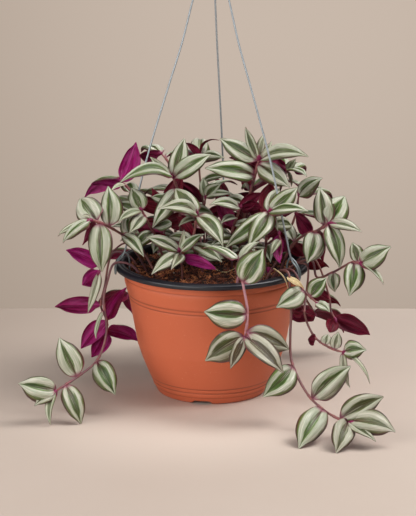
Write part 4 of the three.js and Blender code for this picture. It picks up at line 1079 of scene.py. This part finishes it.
def make_fibres():
    """Loose coir strands in tufts, and bark chips, on the soil."""
    rng = np.random.default_rng(11)
    strands, chips = Soup(), Soup()
    steps, bends = np.linspace(-0.5, 0.5, 6), np.linspace(-0.5, 0.5, 5)
    for _ in range(TUFT_COUNT):
        middle, _ = scatter(rng)
        tuft_tone = clump(middle) + rng.normal(0, 0.12)
        tuft_size = rng.uniform(1.5, 4)
        for _ in range(FIBRES_IN_TUFT):
            offset = rng.normal(0, 1, 2) * tuft_size
            start = np.array([middle[0] + offset[0], middle[1] + offset[1], 0])
            start[2] = soil_height(start[0], start[1])
            start[2] += rng.uniform(0, 3.4) * math.exp(-np.dot(offset, offset) / 14) - 0.2
            direction = lying(rng, 0.1, 0.45)
            length = rng.uniform(2.5, 8)
            side = unit(np.cross(direction, rng.normal(size=3)))
            curl = side * rng.normal(0, 0.75) * length
            path = start + bends[:, None] * direction * length + (bends**2)[:, None] * curl * 2
            path[:, 2] = np.maximum(path[:, 2], soil_height(path[:, 0], path[:, 1]) - 0.8)
            thick = rng.uniform(0.2, 0.42) if rng.uniform() < 0.8 else rng.uniform(0.42, 0.75)
            radius = thick * (1.3 - 0.6 * abs(bends) * 2)
            tone = np.clip(tuft_tone * 0.8 + rng.beta(1.4, 2.6) * 0.4 - 0.1, 0, 1)
            strands.add(tube(inside_pot(path), radius, 3), ring_faces(5, 3),
                        fibre_look=(tone, rng.uniform(), 0))
    corners = np.array([[-1, -0.6], [0.2, -1], [1, -0.3], [0.8, 0.7], [-0.7, 0.8]])
    taper = np.sqrt(1.02 - (2 * steps) ** 2)[:, None, None]
    for _ in range(CHIP_COUNT):
        middle, direction = scatter(rng)
        length, width, thick = rng.uniform(2, 7), rng.uniform(0.8, 2.4), rng.uniform(0.3, 0.8)
        side = unit(np.cross(direction, rng.normal(size=3)))
        up = np.cross(direction, side)
        path = inside_pot(middle + steps[:, None] * direction * length)
        path[:, 2] += rng.uniform(-0.3, 1.2)
        ring = corners[:, :1] * side * width / 2 + corners[:, 1:] * up * thick / 2
        tone = clump(middle) * 0.6 + rng.beta(1.4, 3) * 0.5
        chips.add(path[:, None] + ring[None] * taper, ring_faces(6, 5),
                  fibre_look=(tone, rng.uniform(), 0))
    strands.build("soil_fibres", FIBRE)
    chips.build("bark_chips", FIBRE)


def make_perlite():
    """White expanded grains among the fibres."""
    rng = np.random.default_rng(5)
    grains = Soup()
    rings, sides = 7, 9
    polar = np.linspace(0.2, math.pi - 0.2, rings)[:, None]
    turn = around(sides)[None]
    ball = np.stack([np.sin(polar) * np.cos(turn), np.sin(polar) * np.sin(turn),
                     np.cos(polar) * np.ones_like(turn)], axis=2).reshape(-1, 3)
    for _ in range(PERLITE_COUNT):
        middle, _ = scatter(rng)
        size = rng.uniform(0.4, 1.0)
        stretch = rng.uniform(0.7, 1.2, 3) * size
        grain = ball * (stretch * rng.uniform(0.82, 1.12, (rings * sides, 1)))
        grains.add(inside_pot(middle + grain + [0, 0, size * 0.6]),
                   flipped(ring_faces(rings, sides)))
    grains.build("perlite_grains", PERLITE)


# ---- hanger ------------------------------------------------------------------------


def wire_bar(node, route, step, radius, sides):
    points, radii = rounded_ends(resample(route, step), radius)
    bar = Soup().add(tube(points, radii, sides), ring_faces(len(points), sides))
    bar.build(f"{node}_bent", STEEL, node)


def make_hanger():
    for node, wire in WIRES.items():
        azimuth = math.radians(wire["azimuth"])
        out = np.array([math.cos(azimuth), math.sin(azimuth), 0])
        aside = np.array([-math.sin(azimuth), math.cos(azimuth), 0]) * wire["side"]
        route = [
            out * distance + aside * sideways + [0, 0, height]
            for distance, height, sideways in WIRE_ROUTE
        ]
        wire_bar(node, route, 1.1, WIRE_RADIUS, 12)
    wire_bar("hanger_hook", [[x, 0, z] for x, z in HOOK_ROUTE], 0.9, HOOK_WIRE_RADIUS, 16)


def make_sleeve():
    """The crimped tube that gathers the wires, pinched twice."""
    low, high = (corner.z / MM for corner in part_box("crimp_sleeve"))
    tall, sides, rings = high - low, 40, []
    lobes = np.maximum(0, np.cos(3 * around(sides))) ** 2
    middle = np.linspace(0.9, tall - 0.9, 26)
    for height in np.concatenate([[0, 0.4], middle, [tall - 0.4, tall]]):
        lip = 0.35 * (smooth(0.9, 0, height) + smooth(tall - 0.9, tall, height))
        pinch = 0.55 * sum(math.exp(-(((height - tall * k) / 1.5) ** 2)) for k in (0.3, 0.7))
        rings.append(circle(SLEEVE_OUTER_RADIUS - lip - pinch * lobes, low + height, sides))
    rings += [circle(SLEEVE_INNER_RADIUS, height, sides) for height in (high - 0.1, low + 0.1)]
    sleeve = Soup().add(np.concatenate(rings), ring_faces(len(rings), sides, True))
    sleeve.build("crimp_sleeve_pinched", STEEL, "crimp_sleeve")


# ---- plant -------------------------------------------------------------------------


def half_width(t):
    """A blade's half width at t along it, as a part of its greatest."""
    widest = ROUND_BASE / (ROUND_BASE + SHARP_TIP)
    return (t / widest) ** ROUND_BASE * ((1 - t) / (1 - widest)) ** SHARP_TIP


def sheet_faces(rows, columns):
    """Faces of a closed sheet: the grid's upper side, its lower side after it, the border."""
    count = rows * columns
    faces = []
    for i in range(rows - 1):
        for a in range(i * columns, (i + 1) * columns - 1):
            b = a + columns
            faces += [(a, a + 1, b + 1, b), (count + a, count + b, count + b + 1, count + a + 1)]
    grid = np.arange(count).reshape(rows, columns)
    border = [*grid[0], *grid[1:, -1], *grid[-1, -2::-1], *grid[-2:0:-1, 0]]
    for a, b in zip(border, border[1:] + border[:1]):
        faces.append((b, a, count + a, count + b))
    return faces


def blade(soup, base, tip, width, up, bow, rng, look, thickness=LEAF_THICKNESS):
    """Adds a thin closed blade: folded along the midrib, arched, with a waved margin."""
    base, tip, up = (np.array(point, float) for point in (base, tip, up))
    length = np.linalg.norm(tip - base)
    along = (tip - base) / length
    normal = unit(up - along * np.dot(up, along))
    across = np.cross(along, normal)
    youth = look[2]

    t = 0.5 - 0.5 * np.cos(np.linspace(0.08, 0.965, LEAF_ROWS) * math.pi)
    t = (t - t[0]) / (t[-1] - t[0]) * 0.992 + 0.004
    v = np.sin(np.linspace(-1, 1, LEAF_COLUMNS + 1) * math.pi / 2)
    t, v = t[:, None], v[None]
    sway, twist, wave, curl = rng.normal(0, 1, 4)
    shape = np.clip(rng.normal(0, 1, 4), -1.6, 1.6)
    phase = rng.uniform(0, 2 * math.pi)
    half = width / 2 * LEAF_FULLNESS * half_width(t) + 0.25
    half = half * (1 + 0.05 * np.sign(v) * sway) * (1 - 0.24 * smooth(0.7, 0.96, t))
    vee = np.sqrt(v**2 + CREASE**2) - CREASE
    fold = 0.34 + 0.3 * youth + 0.5 * smooth(0.22, 0, t) + 0.25 * smooth(0.75, 1, t)
    fold = fold + 0.1 * shape[0] + 0.14 * shape[1] * np.sign(v)
    full = smooth(0, 0.2, t) * smooth(1, 0.8, t)
    pillow = (0.21 + 0.05 * shape[2]) * np.sin(math.pi * np.abs(v)) * full
    tucked = 1 + 0.75 * np.clip(wave, -1, 1) * np.sign(v)
    droop = (0.42 + 0.12 * shape[3]) * tucked * np.abs(v) ** 3 * full
    lift = half * (vee * np.sin(fold) + (pillow - droop) * (1 - youth))
    ripple = 0.08 * wave * np.sin(math.pi * 2.4 * t + phase + v)
    lift = lift + half * ripple * v**2
    lift = lift + bow * length * 4 * t * (1 - t)
    lift = lift - length * (0.035 + 0.02 * curl) * smooth(0.72, 1, t) ** 2
    turn = 0.16 * twist * (t - 0.3)
    out = half * v * np.cos(fold * np.abs(v))
    sidestep = out * np.cos(turn) + length * 0.02 * sway * np.sin(math.pi * t)
    lift = lift + out * np.sin(turn)
    forward = length * t[..., None]
    middle = base + along * forward + across * sidestep[..., None] + normal * lift[..., None]

    face = unit(np.cross(np.gradient(middle, axis=1), np.gradient(middle, axis=0)))
    if np.sum(face @ normal) < 0:
        face = -face
    thick = (np.minimum(thickness / 2, 0.3 * half) * (1 - 0.55 * np.abs(v) ** 3))[..., None]
    both = np.stack([middle + face * thick, middle - face * thick]).reshape(-1, 3)
    both[:, 2] = np.maximum(both[:, 2], LEAST_HEIGHT)
    faces = sheet_faces(*middle.shape[:2])
    if np.dot(np.cross(across, along), normal) < 0:
        faces = flipped(faces)
    places = np.stack(np.broadcast_arrays(v, t, 1.0), axis=2).reshape(-1, 3)
    soup.add(both, faces, leaf_place=np.concatenate([places, places * [1, 1, 0]]),
             leaf_look=look[:3], leaf_under=(look[3], 0, 0))


def stem(soup, path, radius, leaves, pale):
    """A fleshy stem with swollen nodes and a pale sheath above each. Returns its curve."""
    last = len(path) - 1
    places = np.linspace(0, last, 26 * last + 1)
    curve = catmull(path, places)
    along = travelled(curve)
    stations = np.arange(0, along[-1], 1.1)
    points = stations_on(curve, along, stations)
    radii = np.full(len(stations), radius * 0.8)
    sheath = np.zeros(len(stations))
    for at in sorted({leaf[0] for leaf in leaves}):
        here = np.interp(min(at, last - TIP_INSET), places, along)
        inside = (stations > here - SHEATH_LENGTH) & (stations < here)
        above = stations - here + SHEATH_LENGTH
        rise = above / SHEATH_LENGTH
        radii = np.where(inside, radii * (1.05 + 0.15 * rise), radii)
        radii = radii * (1 + 0.24 * np.exp(-((above / 1.3) ** 2)))
        sheath = np.maximum(sheath, np.where(inside, 0.4 + 0.6 * smooth(0, 1, rise), 0))
    radii *= 1 - 0.35 * smooth(along[-1] - 12, along[-1], stations)
    side = np.tile(np.sin(around(STEM_SIDES)), len(stations))
    look = np.stack([np.repeat(sheath, STEM_SIDES), 0 * side + pale, side], axis=1)
    ring = tube(points, radii, STEM_SIDES)
    ring[:, 2] = np.maximum(ring[:, 2], LEAST_HEIGHT)
    soup.add(ring, ring_faces(len(stations), STEM_SIDES), stem_place=look)
    return points


def bud(soup, points, length, radius, lean=(0, 0, 0)):
    """The pointed sheath at a stem's growing end, leaning this way from its heading."""
    heading = unit(unit(points[-1] - points[-4]) + np.array(lean, float))
    t = np.linspace(0, 1, 14)
    bend = np.array([0, 0, -0.12]) * length
    path = points[-1] - heading * 1.2 + heading * (t * length)[:, None] + bend * (t**2)[:, None]
    path[:, 2] = np.maximum(path[:, 2], LEAST_HEIGHT + radius)
    radii = radius * (np.sin(math.pi * np.clip(t * 0.8 + 0.2, 0, 1)) ** 0.8 + 0.04)
    soup.add(tube(path, radii, 12), ring_faces(len(path), 12))


def make_shoot(index, name, radius, split, path, leaves):
    """One shoot: its stem, its leaves, the bud at its end and its separate leaves."""
    rng = np.random.default_rng(100 + index)
    looks = {**USUAL, **SPECIAL.get(name, {})}
    stems, buds, joined, loose = Soup(), Soup(), Soup(), 0
    points = stem(stems, path, radius, leaves, looks["pale"])
    stems.build(f"{name}_stem", STEM, name)
    bud(buds, points, *looks["bud"])
    buds.build(f"{name}_bud", BUD)
    for at, tip, width, up, bow in leaves:
        width = width * looks["full"]
        base = catmull(path, [min(at, len(path) - 1 - TIP_INSET)])[0]
        outward = unit(np.array(tip) - base)
        young = float(np.clip((YOUNG_WIDTH - width) / 8, 0, 1))
        browned = at >= looks.get("brown_from", split)
        brown = np.clip(rng.normal(looks["brown"] if browned else 0.08, 0.12), 0, 1)
        # How lit the underside is painted, from shaded maroon at 0 to lit magenta at 1.
        under = np.clip(rng.normal(looks["under"], 0.12), 0, 1)
        look = (rng.uniform(), brown, young, under)
        if at < split:
            loose += 1
            piece = Soup()
            blade(piece, base + outward * radius * 0.6, tip, width, up, bow, rng, look)
            node = f"{name}_leaf_{loose}"
            piece.build(f"{node}_blade", LEAF, node)
        else:
            blade(joined, base + outward * radius * 0.5, tip, width, up, bow, rng, look)
    joined.build(f"{name}_leaves", LEAF)


def make_dry_things():
    """A papery bract and a straw-like dead stem by the right rim, and one on the soil."""
    bract = Soup()
    blade(bract, *BRACT, np.random.default_rng(3), (0.4, 0, 0.3, 0), thickness=0.3)
    bract.build("dry_bract_by_rim", DRY)
    for number, (route, radius) in enumerate(DRY_STEMS):
        path = resample(route, 1.2)
        taper = radius * (1 - 0.6 * np.linspace(0, 1, len(path)) ** 2)
        dead = Soup().add(tube(path, taper, 8), ring_faces(len(path), 8))
        dead.build(f"dry_stem_{number + 1}", DRY)


# ---- the whole object --------------------------------------------------------------

make_pot()
make_soil()
make_fibres()
make_perlite()
make_hanger()
make_sleeve()
for index, shoot in enumerate(SHOOTS):
    make_shoot(index, *shoot)
make_dry_things()

# ---- stage -------------------------------------------------------------------------
# Lengths are in metres from here on.

# Where the pool of light lies on the backdrop, as a direction, and the dim glow around.
BACKDROP_POOL = (0.045, 0.99, -0.115)
GLOW = (0.032, 0.029, 0.027, 1)
# Painted light round the pot's foot and painted shade at the back left of the floor: middle,
# reach and colour.
PAINTED_FLOOR_POOLS = [
    ((-0.03, -0.1, 0), 0.2, linear(212, 197, 185)),
    ((-0.4, 0.25, 0), 0.42, linear(166, 150, 138)),
]
FLOOR_HALF = 6.0
FLOOR_BACK = 0.308
FLOOR_THICKNESS = 0.05
# The camera's lens and sensor are in millimetres, its place and target in metres.
CAMERA_LENS = 153.6
CAMERA_SENSOR = 36
CAMERA_PLACE = (-0.004, -2.2, 0.7)
CAMERA_TARGET = (-0.004, 0, 0.14)
# Each light's name, place, what it points at, size, power and colour.
LIGHTS = [
    ("key", (1.2, -0.1, 1.8), (0, 0, 0.12), 1.2, 34, (1, 0.98, 0.96)),
    ("top", (0.5, -0.1, 2.1), (0, 0, 0.1), 2.2, 22, (1, 0.99, 0.97)),
    ("side", (-2.0, -1.1, 0.9), (0, 0, 0.12), 0.9, 16, (1, 0.98, 0.96)),
    ("back", (0.5, 2.2, 1.1), (0, 0, 0.15), 1.6, 6, (1, 0.98, 0.96)),
    ("fill", (-1.2, -2.1, 0.9), (0, 0, 0.12), 2.0, 31, (1, 0.98, 0.96)),
]


def make_floor():
    """A pale slab whose straight back edge meets the backdrop."""
    s = Shader("pale_floor", 0.7)
    place = s.place()
    colour = s.mix(s.noise(place, 5, 4), linear(189, 173, 161), linear(196, 181, 170))
    # Painted light and painted shade as pools on the floor.
    for middle, reach, pool in PAINTED_FLOOR_POOLS:
        colour = s.mix(s.step(s.distance(place, middle), reach, 0.03), colour, pool)
    corners = [
        (x, y, z) for z in (-FLOOR_THICKNESS, 0) for y in (-FLOOR_HALF, FLOOR_BACK)
        for x in (-FLOOR_HALF, FLOOR_HALF)
    ]
    faces = [(0, 2, 3, 1), (4, 5, 7, 6), (0, 1, 5, 4), (2, 6, 7, 3), (0, 4, 6, 2), (1, 3, 7, 5)]
    mesh = bpy.data.meshes.new("floor")
    mesh.from_pydata(corners, [], faces)
    mesh.materials.append(s.finish(colour, s.bump(s.noise(place, 300, 3), 0.05, 0.001)))
    floor = link("floor", mesh)


def make_world():
    """A backdrop with a soft pool of light on it, and a dimmer glow for the shaded sides."""
    world = bpy.data.worlds.new("backdrop")
    bpy.context.scene.world = world
    s = Nodes(world)
    away = s.step(s.distance(s.place("Generated"), BACKDROP_POOL), 0.02, 0.36)
    seen = s.mix(away, linear(200, 184, 170), linear(146, 130, 116))
    camera_ray = s.node("ShaderNodeLightPath", [], "Is Camera Ray")
    s.put(s.tree.nodes["Background"].inputs["Color"], s.mix(camera_ray, GLOW, seen))


def aim(thing, location, target):
    thing.location = location
    direction = np.array(target) - np.array(thing.location)
    thing.rotation_euler = Vector(direction).to_track_quat("-Z", "Y").to_euler()


def make_light(name, location, target, size, power, colour):
    data = bpy.data.lights.new(name, "AREA")
    data.shape = "DISK"
    data.size, data.energy, data.color = size, power, colour
    light = link(name, data)
    light.visible_camera = False
    aim(light, location, target)


def make_camera():
    data = bpy.data.cameras.new("camera")
    data.lens, data.sensor_width = CAMERA_LENS, CAMERA_SENSOR
    camera = link("camera", data)
    aim(camera, CAMERA_PLACE, CAMERA_TARGET)
    bpy.context.scene.camera = camera


make_floor()
make_world()
for light in LIGHTS:
    make_light(*light)
make_camera()
bpy.context.scene.view_settings.view_transform = "Standard"
